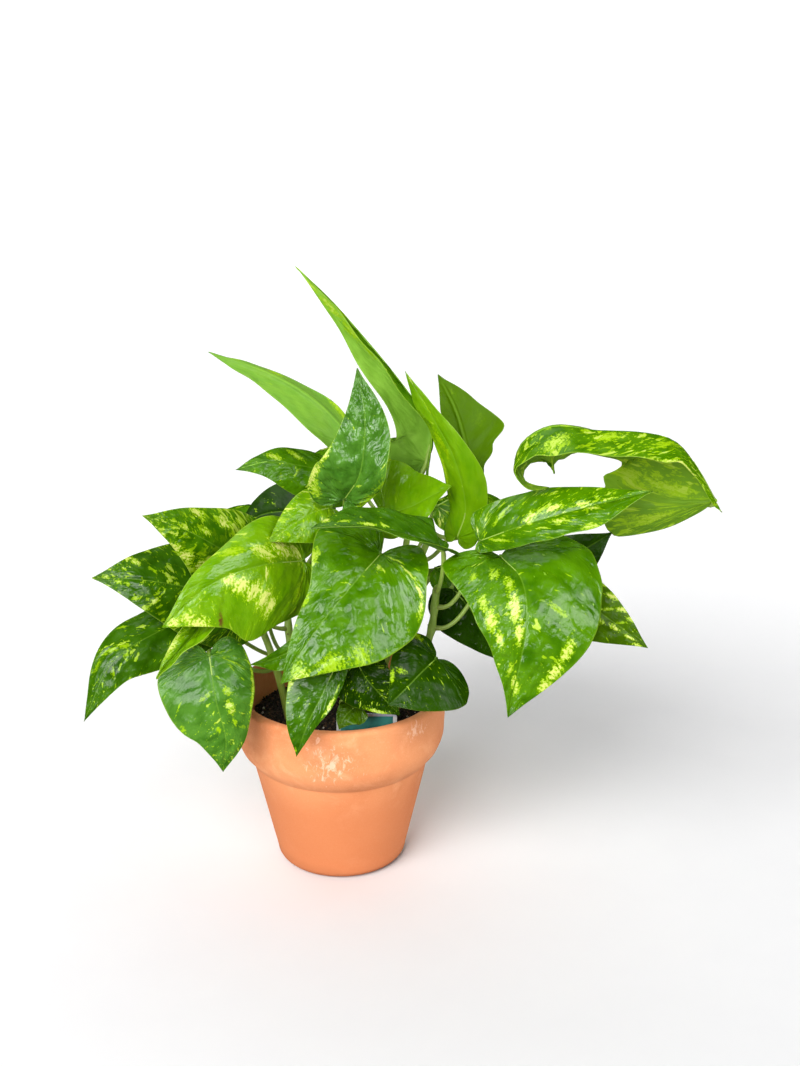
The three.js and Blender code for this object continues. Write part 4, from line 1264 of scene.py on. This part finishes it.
@dataclass
class Vine:
    """One vine, rising out of its hole in the soil, swollen where leaves join it.

    taper is how much thinner it gets towards its tip, swelling how much thicker it is at a joint, over some
    joint_length, and bark reaches bark_rise above the soil. Lengths are in millimetres.
    """

    name: str
    points: Points
    joints: tuple[float, ...]
    tree: StemTree
    skin: bpy.types.Material
    sides: int = 14
    steps: int = 120
    taper: float = 0.16
    swelling: float = 0.2
    joint_length: float = 4.0
    tip_start: float = 0.965
    tip_share: float = 0.036
    bark: float = 0.7
    bark_rise: float = 14.0
    buds: float = 0.25
    bud_size: float = 0.0009

    def line(self) -> Line:
        """The vine's centre line, from its end in the soil up.

        Returns:
            The line.
        """
        x, y, _ = self.points[0]
        deep = SOIL_TOP - VINE_ROOT_DEPTH
        buried = ((x, y, deep), (x, y, deep + VINE_ROOT_DEPTH / 2))
        return Line(spline((*buried, *self.points), 30))

    def build(self) -> bpy.types.Object:
        """The finished vine.

        Returns:
            The piece.
        """
        line = self.line()
        share = np.linspace(0, 1, self.steps)
        along = share * line.length
        joint = np.clip(sum(swell((share - at) * line.length, self.joint_length) for at in self.joints), 0, 1)
        tip = np.sqrt(np.clip(1 - ((share - self.tip_start) / self.tip_share).clip(0) ** 2, 0.05, 1))
        girth = VINE_RADIUS * (1.0 - self.taper * share + self.swelling * joint) * tip
        bark = self.bark * (1 - eased(along, VINE_ROOT_DEPTH, VINE_ROOT_DEPTH + self.bark_rise))
        source = thread(self.name, placed(line.at(share)), girth=girth * MM, run=share, bark=bark,
                        joint=joint * self.buds)
        piece = self.tree.bake("stem_" + self.name, source, Sides=self.sides, Nub_size=self.bud_size,
                               Seed=len(self.name), Skin=self.skin)
        return dressed(piece, "vine", "vine_" + self.name)


@dataclass
class Petiole:
    """A leaf's stalk, from its vine to the underside of its blade, along which it fades out.

    clasp and knee are how much thicker it is at the vine and below the blade, over some bulge_length. A stalk
    that goes round by way of points is straight at its ends, and the bends of any other take up shares of its
    span. It runs below the blade's middle and comes nearer by merge towards its end. Lengths are in
    millimetres.
    """

    blade: Blade
    vine: Line
    tree: StemTree
    skin: bpy.types.Material
    sides: int = 12
    steps: int = 48
    under_blade: float = 0.16
    thickest: float = 0.86
    clasp: float = 0.3
    knee: float = 0.16
    thin_end: float = 0.35
    bulge_length: float = 5.0
    straight: tuple[float, float] = (3.0, 4.0)
    bends: tuple[float, float] = (0.3, 0.22)
    below: float = 0.35
    merge: float = 1.2
    parts: int = 12

    def path(self) -> np.ndarray:
        """The stalk's points in millimetres.

        Returns:
            The points in order.
        """
        form, midrib, up = self.blade.form, self.blade.midrib, self.blade.up()
        axis, slope = self.vine.at(form.share), self.vine.slope(form.share)
        joint, along = midrib.at(0.0), midrib.slope(0.0)
        towards = np.asarray(form.via[0] if form.via else joint, float)
        out = square_to(towards - axis, slope)
        start = axis + out * (VINE_RADIUS + PETIOLE_GAP)
        span = float(np.linalg.norm(joint - start))
        sink = self.below + PETIOLE_RADIUS * 0.55
        end = joint - up * sink
        if form.via:
            first, last = self.straight
            bent = spline([start, start + out * first, *form.via, end - along * last], self.parts)[:-1]
        else:
            first, last = self.bends
            near, under = start + out * first * span, joint - last * span * (along + up)
            t = np.linspace(0, 1, 3 * self.parts, endpoint=False)[:, None]
            left = 1 - t
            bent = left**3 * start + 3 * t * left**2 * near + 3 * t * t * left * under + t**3 * end
        share = np.linspace(0, self.under_blade, self.parts)
        along_rib = midrib.at(share) - up * (sink + 0.2 - self.merge * share[:, None] / self.under_blade)
        return np.vstack([axis + out * 1.0, bent, along_rib])

    def build(self) -> bpy.types.Object:
        """The finished stalk.

        Returns:
            The piece.
        """
        line = Line(self.path())
        share = np.linspace(0, 1, self.steps)
        left = (1 - share) * line.length
        hidden = self.under_blade * self.blade.midrib.length
        clasp = swell(share * line.length, self.bulge_length)
        knee = swell(left - hidden - self.bulge_length, self.bulge_length)
        thin = self.thin_end + (1 - self.thin_end) * eased(left, 0, hidden + 4)
        girth = PETIOLE_RADIUS * (self.thickest + self.clasp * clasp + self.knee * knee) * thin
        source = thread(self.blade.name, placed(line.at(share)), girth=girth * MM, run=0.3 + 0.7 * share,
                        bark=0.25 * clasp, joint=np.zeros(self.steps))
        piece = self.tree.bake("stalk_" + self.blade.name, source, Sides=self.sides, Skin=self.skin)
        return dressed(piece, "leaf", "leaf_" + self.blade.name)


# ---- the pot and what is in it ----
class LatheTree(Shape):
    """A closed body turned about the Z axis from the mesh's points, taken as radius and height."""

    def __init__(self) -> None:
        """Builds the tree: its inputs are Sides, Rings, Middle, Wobble and Clay."""
        super().__init__("turned body")
        sides = self.given("Sides", "Int", 96)
        rings = self.given("Rings", "Int", 32)
        middle = self.given("Middle", "Vector", (0, 0, 0))
        wobble = self.given("Wobble", "Float", 0.0)
        clay = self.given("Clay", "Material")
        columns = self.maths("ADD", sides, 1.0)
        inputs = {"Size X": 1.0, "Size Y": 1.0, "Vertices X": columns, "Vertices Y": rings}
        grid = self.node("GeometryNodeMeshGrid", inputs)
        turn, ring, _ = self.split(grid.outputs["UV Map"])
        number = self.maths("ROUND", self.maths("MULTIPLY", ring, self.maths("SUBTRACT", rings, 1.0)))
        inputs = {"Geometry": self.source, "Value": self.out("GeometryNodeInputPosition"), "Index": number}
        spot = self.out("GeometryNodeSampleIndex", inputs, data_type="FLOAT_VECTOR", domain="POINT")
        radius, _, height = self.split(spot)
        angle = self.maths("MULTIPLY", turn, 2 * math.pi)
        cosine, sine = self.maths("COSINE", angle), self.maths("SINE", angle)
        hand = self.maths("SUBTRACT", self.noise(self.join(cosine, sine, height), 2.2, 1), 0.5)
        radius = self.maths("MULTIPLY", radius, self.maths("MULTIPLY_ADD", hand, wobble, 1.0))
        x, y = self.maths("MULTIPLY", radius, cosine), self.maths("MULTIPLY", radius, sine)
        place = self.vector("ADD", self.join(x, y, height), middle)
        body = self.out("GeometryNodeSetPosition", {"Geometry": grid.outputs["Mesh"], "Position": place})
        self.close(self.out("GeometryNodeMergeByDistance", {"Geometry": body, "Distance": 1e-6}), clay)

    def turned(self, name: str, profile: Sequence[tuple[float, float]], clay: bpy.types.Material, sides: int,
               wobble: float = 0.0) -> bpy.types.Object:
        """A closed body turned about the pot's axis, with its faces out.

        Args:
            name: the piece's name.
            profile: its profile's radii and heights in millimetres.
            clay: its material.
            sides: how many sides it has.
            wobble: how uneven it is, as a share of its radius.

        Returns:
            The piece.
        """
        points = np.array([(radius, 0.0, height) for radius, height in profile]) * MM
        return outward(self.bake(name, thread(name, points), Sides=sides, Rings=len(points),
                                 Middle=(*pot_middle(), 0.0), Wobble=wobble, Clay=clay))


def arc(radius: float, height: float, size: float, start: float, end: float,
        count: int = 8) -> list[tuple[float, float]]:
    """Points of an arc, such as one in a turned profile.

    Args:
        radius: how far out its centre is.
        height: how high its centre is.
        size: its own radius.
        start: the angle where it starts, in degrees.
        end: the angle where it ends.
        count: how many parts it has.

    Returns:
        Its points, out and up.
    """
    angles = np.radians(np.linspace(start, end, count + 1))
    return [(radius + size * math.cos(a), height + size * math.sin(a)) for a in angles]


def outward(piece: bpy.types.Object) -> bpy.types.Object:
    """Turns a closed piece's faces out if they point in.

    Args:
        piece: the piece.

    Returns:
        The piece.
    """
    points = np.array([v.co for v in piece.data.vertices])
    piece.data.calc_loop_triangles()
    triangles = points[np.array([t.vertices for t in piece.data.loop_triangles])]
    volume = np.einsum("ij,ij->i", triangles[:, 0], np.cross(triangles[:, 1], triangles[:, 2])).sum()
    if volume < 0:
        piece.data.flip_normals()
    return piece


@dataclass(frozen=True)
class Terracotta:
    """Matte fired clay with mottling, turning marks, pale mineral scuffs and painted shade on its lower body.

    A scuff is its middle and its half sizes, in millimetres from the pot's middle.
    """

    clay: Colour = paint(224, 147, 98)
    warm: Colour = paint(203, 122, 76)
    light: Colour = paint(238, 172, 126)
    bloom: Colour = paint(244, 206, 178)
    damp: Colour = paint(150, 84, 52)
    scuffs: tuple[tuple[Point, Point], ...] = (
        ((-2.0, -73.5, 108.0), (20.0, 16.0, 19.0)),
        ((52.0, -52.0, 121.0), (13.0, 11.0, 8.0)),
    )

    def chalk(self, graph: Finish, place: Socket) -> Socket:
        """How much mineral bloom there is: a faint haze, and the scuffs.

        Args:
            graph: the material.
            place: the place from the pot's middle.

        Returns:
            A value from 0 to 1.
        """
        flaky = graph.noise(graph.vector("MULTIPLY", place, (1, 1, 0.5)), 300, 5, 0.72, 1.0)
        chalk = graph.ramp(graph.noise(place, 90, 5, 0.7, 0.6), 0.66, 0.76, 0.0, 0.14)
        for middle, size in self.scuffs:
            spot = tuple(value * MM for value in middle)
            away = graph.away(place, spot, tuple(1 / (value * MM) for value in size))
            mark = graph.ramp(graph.maths("MULTIPLY_ADD", away, -0.2, flaky), 0.38, 0.52, 0.0, 0.6)
            chalk = graph.maths("MAXIMUM", chalk, mark)
        return chalk

    def material(self) -> bpy.types.Material:
        """Builds the material.

        Returns:
            The material.
        """
        graph = Finish("terracotta", Specular_IOR_Level=0.25)
        place = graph.vector("SUBTRACT", graph.place(), (*pot_middle(), 0.0))
        _, _, height = graph.split(place)
        cloud = graph.noise(place, 14, 4, 0.55, 0.3)
        blot = graph.noise(place, 55, 4, 0.6, 0.4)
        grain = graph.noise(place, 900, 3, 0.6)
        rings = graph.noise(graph.vector("MULTIPLY", place, (0.06, 0.06, 1)), 620, 2, 0.55)
        wet = graph.ramp(graph.maths("MULTIPLY_ADD", cloud, 0.02, height), 0.012, 0.024, 0.35, 0.0)
        colour = graph.coats(
            self.clay,
            (graph.ramp(cloud, 0.35, 0.7), self.warm),
            (graph.ramp(blot, 0.5, 0.75, 0.0, 0.5), self.light),
            (graph.ramp(grain, 0.58, 0.75, 0.0, 0.35), self.warm),
            (graph.ramp(grain, 0.42, 0.3, 0.0, 0.3), self.light),
            (self.chalk(graph, place), self.bloom),
            # painted shade: the lower body darker, fading out just above the rim's foot
            (graph.ramp(height, 0.05, 0.09, 0.85, 0.0), self.warm),
            (wet, self.damp),
        )
        normal = graph.bumps((rings, 0.00022, 0.5), (blot, 0.0003, 0.35), (grain, 0.0001, 0.6))
        return graph.wear(Base_Color=colour, Roughness=graph.ramp(grain, 0.3, 0.7, 0.72, 0.92), Normal=normal)


@dataclass
class TerracottaPot:
    """The clay pot with its thick rim, rounded lip and drain hole."""

    tree: LatheTree
    sides: int = 144
    wobble: float = 0.004

    def profile(self) -> list[tuple[float, float]]:
        """The pot's closed profile, out from the drain hole and back inside.

        Returns:
            Its radii and heights.
        """
        rim_foot = POT_HEIGHT - RIM_HEIGHT
        slope, rise = POT_BODY_RADIUS - BASE_RADIUS, rim_foot - 0.6 - FOOT_ROUND
        span, deep = INNER_RIM - INNER_BASE, POT_HEIGHT - LIP_ROUND - FLOOR
        rim = np.linspace(rim_foot + 23, POT_HEIGHT - LIP_ROUND - 1.5, 7)
        return [
            (HOLE_RADIUS, 1.2), (HOLE_RADIUS + 1.2, 0.0), (HOLE_RADIUS + 2.0, 0.0), (24.0, 0.0), (38.0, 0.0),
            *arc(BASE_RADIUS - FOOT_ROUND, FOOT_ROUND, FOOT_ROUND, -90, 0),
            *((BASE_RADIUS + slope * t, FOOT_ROUND + rise * t) for t in np.linspace(0.06, 0.985, 14)),
            (POT_BODY_RADIUS + 0.1, rim_foot - 0.2), (RIM_FOOT_RADIUS - 0.5, rim_foot + 0.3),
            (RIM_FOOT_RADIUS + 0.4, rim_foot + 1.0), (RIM_FOOT_RADIUS + 2.6, rim_foot + 4.0),
            (RIM_RADIUS - 5.3, rim_foot + 7.6), (RIM_RADIUS - 4.0, rim_foot + 10.5),
            (RIM_RADIUS - 2.6, rim_foot + 14.0), (RIM_RADIUS - 1.7, rim_foot + 17.2),
            (RIM_RADIUS - 1.4, rim_foot + 19.5),
            *((RIM_RADIUS - 1.3 + 1.25 * (z - rim_foot - 23) / 22, float(z)) for z in rim),
            *arc(RIM_RADIUS - LIP_ROUND, POT_HEIGHT - LIP_ROUND, LIP_ROUND, 0, 90),
            *arc(INNER_RIM + LIP_ROUND, POT_HEIGHT - LIP_ROUND, LIP_ROUND, 90, 180),
            *((INNER_BASE + span * t, FLOOR + deep * t) for t in np.linspace(0.96, 0.04, 14)),
            (INNER_BASE - 0.6, FLOOR + 0.4), (INNER_BASE - 2, FLOOR), (24.0, FLOOR),
            (HOLE_RADIUS + 1.2, FLOOR), (HOLE_RADIUS, FLOOR - 1.2), (HOLE_RADIUS, 1.2),
        ]

    def build(self) -> bpy.types.Object:
        """The finished pot."""
        piece = self.tree.turned("clay_pot", self.profile(), Terracotta().material(), self.sides, self.wobble)
        return dressed(piece, "terracotta", "pot")


@dataclass(frozen=True)
class PottingMix:
    """Dark damp peat with bark and a few pale grains, its colours partly the mix's own and partly painted
    shade, darkened for the shade inside the pot.
    """

    # painted shade: these colours, the pale grains' too, are darker than the mix's own, for the shade inside
    # the pot
    peat: Colour = paint(24, 18, 14)
    crumb: Colour = paint(44, 33, 25)
    bark: Colour = paint(78, 57, 40)
    perlite: Colour = paint(170, 164, 152)

    def material(self) -> bpy.types.Material:
        """Builds the material.

        Returns:
            The material.
        """
        graph = Finish("potting_mix", Specular_IOR_Level=0.3)
        place, shade = graph.place(), graph.attribute("shade", "Fac")
        coarse = graph.noise(place, 240, 4, 0.65, 0.3)
        fine = graph.noise(place, 1400, 3, 0.6)
        colour = graph.coats(
            self.peat,
            (graph.ramp(coarse, 0.4, 0.7), self.crumb),
            (graph.ramp(shade, 0.6, 0.9, 0.0, 0.8), self.bark),
            (graph.ramp(shade, 0.975, 0.98), self.perlite),
            (graph.ramp(fine, 0.55, 0.8, 0.0, 0.35), self.peat),
        )
        normal = graph.bumps((coarse, 0.0012, 0.8), (fine, 0.0002, 0.7))
        return graph.wear(Base_Color=colour, Roughness=graph.ramp(fine, 0.3, 0.7, 0.8, 0.98), Normal=normal)


class CrumbTree(Shape):
    """Crumbs of many sizes scattered over the upper faces of a body, which is made uneven first."""

    def __init__(self) -> None:
        """Builds the tree: its inputs are Spacing, Crumb size, Unevenness, Seed and Mix."""
        super().__init__("crumbs on a bed")
        spacing = self.given("Spacing", "Float", 0.002)
        size = self.given("Crumb size", "Float", 0.0015)
        uneven = self.given("Unevenness", "Float", 0.001)
        seed = self.given("Seed", "Int", 3)
        mix = self.given("Mix", "Material")
        place = self.out("GeometryNodeInputPosition")
        upper = self.maths("GREATER_THAN", self.split(self.out("GeometryNodeInputNormal"))[2], 0.7)
        rough = self.maths("MULTIPLY", self.maths("SUBTRACT", self.noise(place, 90, 3), 0.5), uneven)
        inputs = {"Geometry": self.source, "Selection": upper, "Offset": self.join(0.0, 0.0, rough)}
        bed = self.out("GeometryNodeSetPosition", inputs)
        spots = {"Selection": upper, "Distance Min": spacing, "Density Max": 4e5, "Seed": seed}
        ball = self.out("GeometryNodeMeshIcoSphere", {"Radius": size, "Subdivisions": 2})
        worn = self.node("ShaderNodeTexNoise", {"Vector": place, "Scale": 700.0, "Detail": 2.0})
        worn = self.vector("SUBTRACT", worn.outputs["Color"], (0.5, 0.5, 0.5))
        inputs = {0: worn, "Scale": 0.002}
        shift = self.out("ShaderNodeVectorMath", inputs, operation="SCALE")
        copy = {
            "Instance": self.out("GeometryNodeSetPosition", {"Geometry": ball, "Offset": shift}),
            "Rotation": self.random("FLOAT_VECTOR", seed, (0, 0, 0), (6.28, 6.28, 6.28)),
            "Scale": self.random("FLOAT_VECTOR", seed, (0.35, 0.35, 0.3), (1.5, 1.1, 0.9)),
        }
        self.strew(bed, spots, copy, "shade", self.random("FLOAT", seed, 0.0, 1.0), mix)


@dataclass
class SoilBed:
    """The potting mix that fills the pot to below its lip, clear of its floor and wall."""

    lathe: LatheTree
    air: float = 0.3
    shy: float = 0.5
    shoulder: float = 0.4
    crumb_spacing: float = 0.0019
    crumb_size: float = 0.0015
    unevenness: float = 0.005
    sides: int = 96

    def profile(self) -> list[tuple[float, float]]:
        """The bed's profile, from the middle of its foot round to the middle of its crown.

        Returns:
            Its radii and heights.
        """
        low = FLOOR + self.air
        foot, wall = (INNER_BASE + (INNER_RIM - INNER_BASE) * (z - FLOOR) / (POT_HEIGHT - FLOOR)
                      for z in (low, SOIL_TOP))
        inner = wall - self.shy
        crown = SOIL_CROWN + self.shoulder
        return [
            (0.0, low), (foot - 2, low), (foot - 0.6, low + 1.5),
            (inner - 0.3, SOIL_TOP - 2.5), (inner, SOIL_TOP - 1.2),
            *((inner * math.cos(a), SOIL_TOP - self.shoulder + crown * math.sin(a) ** 0.8)
              for a in np.linspace(0.05, math.pi / 2, 32)[:-1]),
            (0.0, SOIL_TOP + SOIL_CROWN),
        ]

    def build(self) -> bpy.types.Object:
        """The finished bed of soil.

        Returns:
            The piece.
        """
        mix = PottingMix().material()
        body = self.lathe.turned("soil_body", self.profile(), mix, self.sides)
        mesh = body.data
        bpy.data.objects.remove(body)
        piece = CrumbTree().bake("soil_bed", mesh, Spacing=self.crumb_spacing, Crumb_size=self.crumb_size,
                                 Unevenness=self.unevenness, Seed=4, Mix=mix)
        return dressed(piece, "soil", "soil")


@dataclass(frozen=True)
class TagPlastic:
    """A bare plastic tag: plain colour with a pale border, a pale stripe along its top and a smudged foot."""

    field: Colour = paint(66, 156, 148)
    deep: Colour = paint(48, 128, 124)
    border: Colour = paint(226, 232, 236)
    stripe: Colour = paint(206, 210, 236)
    soiled: Colour = paint(70, 50, 36)

    def material(self) -> bpy.types.Material:
        """Builds the material.

        Returns:
            The material.
        """
        graph = Finish("tag_plastic", IOR=1.46)
        flat = graph.attribute("flat")
        across, up, _ = graph.split(flat)
        cloud = graph.noise(flat, 0.12, 3, 0.5)
        beside = graph.maths("ABSOLUTE", across)
        smudge = graph.maths("MULTIPLY_ADD", cloud, -16.0, up)
        colour = graph.coats(
            self.field,
            (graph.ramp(cloud, 0.35, 0.65), self.deep),
            (graph.ramp(beside, TAG_WIDTH / 2 - 3.0, TAG_WIDTH / 2 - 2.7), self.border),
            (graph.ramp(up, TAG_TOP - 2.2, TAG_TOP - 2.0), self.stripe),
            (graph.ramp(smudge, TAG_SHOULDER - 2, TAG_SHOULDER + 6, 0.5, 0.0), self.soiled),
        )
        normal = graph.bumps((graph.noise(flat, 4.0, 2, 0.5), 0.00004, 0.6))
        return graph.wear(Base_Color=colour, Roughness=graph.ramp(cloud, 0.3, 0.7, 0.34, 0.5), Normal=normal)


@dataclass
class PlantTag:
    """The leaning tag behind the front of the rim, with rounded corners, fine bevels and a pointed foot."""

    corner: float = 3.0
    corner_parts: int = 6
    shy: float = 0.05
    bevel: tuple[tuple[float, float], ...] = ((0.25, -0.5), (0.0, -0.3), (0.0, 0.3), (0.25, 0.5))

    def outline(self) -> np.ndarray:
        """The tag's outline, across and up, counter-clockwise.

        Returns:
            Its points.
        """
        half, high = TAG_WIDTH / 2 - self.shy, TAG_TOP - self.shy
        out, up = half - self.corner, high - self.corner
        return np.array([
            (-3.0, TAG_POINT + 0.6), (-1.8, TAG_POINT), (1.8, TAG_POINT), (3.0, TAG_POINT + 0.6),
            (half - 0.5, TAG_SHOULDER - 1.0), (half, TAG_SHOULDER + 0.5),
            *arc(out, up, self.corner, 0, 90, self.corner_parts),
            *arc(-out, up, self.corner, 90, 180, self.corner_parts),
            (-half, TAG_SHOULDER + 0.5), (-half + 0.5, TAG_SHOULDER - 1.0),
        ])

    def build(self) -> bpy.types.Object:
        """The finished tag.

        Returns:
            The piece.
        """
        outline = self.outline()
        count = len(outline)
        inward = outline.mean(0) - outline
        inward /= np.linalg.norm(inward, axis=1)[:, None]
        rings = []
        for inset, depth in self.bevel:
            ring = outline + inward * inset
            rings.append(np.column_stack([ring[:, 0], np.full(count, depth * TAG_THICKNESS), ring[:, 1]]))
        x, back, z = np.vstack(rings).T
        faces = [tuple(range(count)), tuple(reversed(range(3 * count, 4 * count)))]
        for a in range(0, 3 * count, count):
            for i in range(count):
                following = (i + 1) % count
                faces.append((a + following, a + i, a + i + count, a + following + count))
        lean, up = math.radians(TAG_LEAN), z - SOIL_TOP
        leaning = np.column_stack([
            x + TAG_PLACE[0],
            back * math.cos(lean) + up * math.sin(lean) + TAG_PLACE[1],
            up * math.cos(lean) - back * math.sin(lean) + SOIL_TOP,
        ])
        mesh = mesh_of("plant_tag", placed(leaning), faces, flat=np.column_stack([x, z, back]))
        piece = shown("bare_tag", mesh)
        for polygon in piece.data.polygons:
            polygon.use_smooth = len(polygon.vertices) == 4
        piece.data.materials.append(TagPlastic().material())
        return dressed(outward(piece), "tag", "plant_tag")


# ---- the studio ----
@dataclass(frozen=True)
class Panel:
    """A soft white light: where it hangs in metres from the pot, its width and height, and its watts."""

    name: str
    place: Point
    wide: float
    high: float
    power: float

    def hang(self) -> bpy.types.Object:
        """Hangs it so that it points at the plant.

        Returns:
            The light.
        """
        data = bpy.data.lights.new(self.name, "AREA")
        data.shape = "RECTANGLE"
        data.size, data.size_y, data.energy = self.wide, self.high, self.power
        lamp = shown(self.name, data)
        lamp.location = Vector(self.place) + Vector((*pot_middle(), 0))
        lamp.rotation_euler = (Vector((0, 0, 0.22)) - Vector(self.place)).to_track_quat("-Z", "Y").to_euler()
        lamp.visible_camera = False
        return lamp


@dataclass
class Studio:
    """The pale floor, the soft lights and the camera at the photograph's angle.

    The floor's sizes are in metres: how far it reaches, where it curves up and how high it ends.
    """

    key: Panel = Panel("key", (-1.5, -2.7, 2.3), 2.7, 2.7, 202.0)
    fills: tuple[Panel, ...] = (
        Panel("window", (1.27, -0.89, 1.25), 1.5, 0.8, 27.0),
        Panel("front", (-0.35, -1.75, 0.9), 0.6, 0.45, 4.0),
        Panel("overhead", (0.0, 0.4, 1.9), 1.2, 1.2, 7.0),
    )
    lens: float = 50.66
    distance: float = 1035.0
    elevation: float = 19.0
    aim: Point = (43.0, 0.0, 246.0)
    reach: float = 7.0
    front: float = -6.0
    bend: float = 2.2
    bend_radius: float = 1.5

    def floor(self) -> bpy.types.Object:
        """A floor that curves up into a backdrop and glows a little where the lights fall off.

        Returns:
            The floor.
        """
        round_ = self.bend_radius
        rows = [(self.front, 0.0), (self.bend, 0.0)]
        for turn in np.linspace(0.1, math.pi / 2, 14):
            rows.append((self.bend + round_ * math.sin(turn), round_ * (1 - math.cos(turn))))
        rows.append((self.bend + round_, self.reach))
        points = np.array([(x, y, z) for y, z in rows for x in (-self.reach, self.reach)])
        faces = [(2 * i, 2 * i + 1, 2 * i + 3, 2 * i + 2) for i in range(len(rows) - 1)]
        backdrop = shown("backdrop", mesh_of("backdrop", points, faces))
        graph = Finish("pale_floor", Roughness=0.9, Specular_IOR_Level=0.1, Emission_Color=(1, 1, 1, 1))
        place = graph.place()
        colour = graph.coats((0.86, 0.86, 0.87, 1), (graph.noise(place, 30, 2, 0.5), (0.88, 0.88, 0.885, 1)))
        behind = graph.ramp(graph.split(place)[1], 0.0, 0.6, 0.0, 0.26)
        away = graph.ramp(graph.vector("LENGTH", place), 0.9, 3.2, 0.0, 0.97)
        glow = graph.maths("MAXIMUM", behind, away)
        backdrop.data.materials.append(graph.wear(Base_Color=colour, Emission_Strength=glow))
        backdrop.visible_glossy = False
        return backdrop

    def sky(self) -> bpy.types.World:
        """A world that is white to the camera and dim to everything else.

        Returns:
            The world.
        """
        world = bpy.data.worlds.new("sky")
        world.use_nodes = True
        graph, background = Graph(world.node_tree), world.node_tree.nodes["Background"]
        seen = graph.node("ShaderNodeLightPath").outputs["Is Camera Ray"]
        graph.feed(background, "Color", (0.98, 0.99, 1.0, 1))
        graph.feed(background, "Strength", graph.maths("MULTIPLY_ADD", seen, 0.9, 0.1))
        world.cycles_visibility.glossy = False
        return world

    def camera(self) -> bpy.types.Object:
        """The camera, aimed as the photograph's was.

        Returns:
            The camera.
        """
        data = bpy.data.cameras.new("camera")
        data.lens, data.sensor_width = self.lens, 36.0
        camera = shown("camera", data)
        aim, lift = Vector(placed(self.aim)), math.radians(self.elevation)
        camera.location = aim + Vector((0, -math.cos(lift), math.sin(lift))) * self.distance * MM
        camera.rotation_euler = (aim - camera.location).to_track_quat("-Z", "Y").to_euler()
        return camera

    def build(self) -> None:
        """Sets the floor, the lights, the sky and the camera. The fills leave the floor out."""
        apart = bpy.data.collections.new("kept_dark_by_the_fills")
        apart.objects.link(self.floor())
        apart.collection_objects[0].light_linking.link_state = "EXCLUDE"
        self.key.hang()
        for fill in self.fills:
            fill.hang().light_linking.receiver_collection = apart
        scene = bpy.context.scene
        scene.world = self.sky()
        scene.view_settings.view_transform = "Standard"
        scene.camera = self.camera()


def main() -> None:
    """Builds the studio and each piece of the plant."""
    logging.basicConfig(level=logging.INFO, format="%(message)s")
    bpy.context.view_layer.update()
    Studio().build()
    lathe, stems = LatheTree(), StemTree()
    TerracottaPot(lathe).build()
    SoilBed(lathe).build()
    PlantTag().build()
    skin = StemSkin().material()
    vines = {}
    for name, points in VINES.items():
        joints = tuple(form.share for form in LEAVES.values() if form.vine == name)
        vine = Vine(name, points, joints, stems, skin)
        vines[name] = vine.line()
        vine.build()
    for seed, (name, form) in enumerate(LEAVES.items(), 1):
        blade = Blade(name, form, LOOKS[name], seed)
        blade.build()
        Petiole(blade, vines[form.vine], stems, skin).build()


if __name__ == "__main__":
    main()
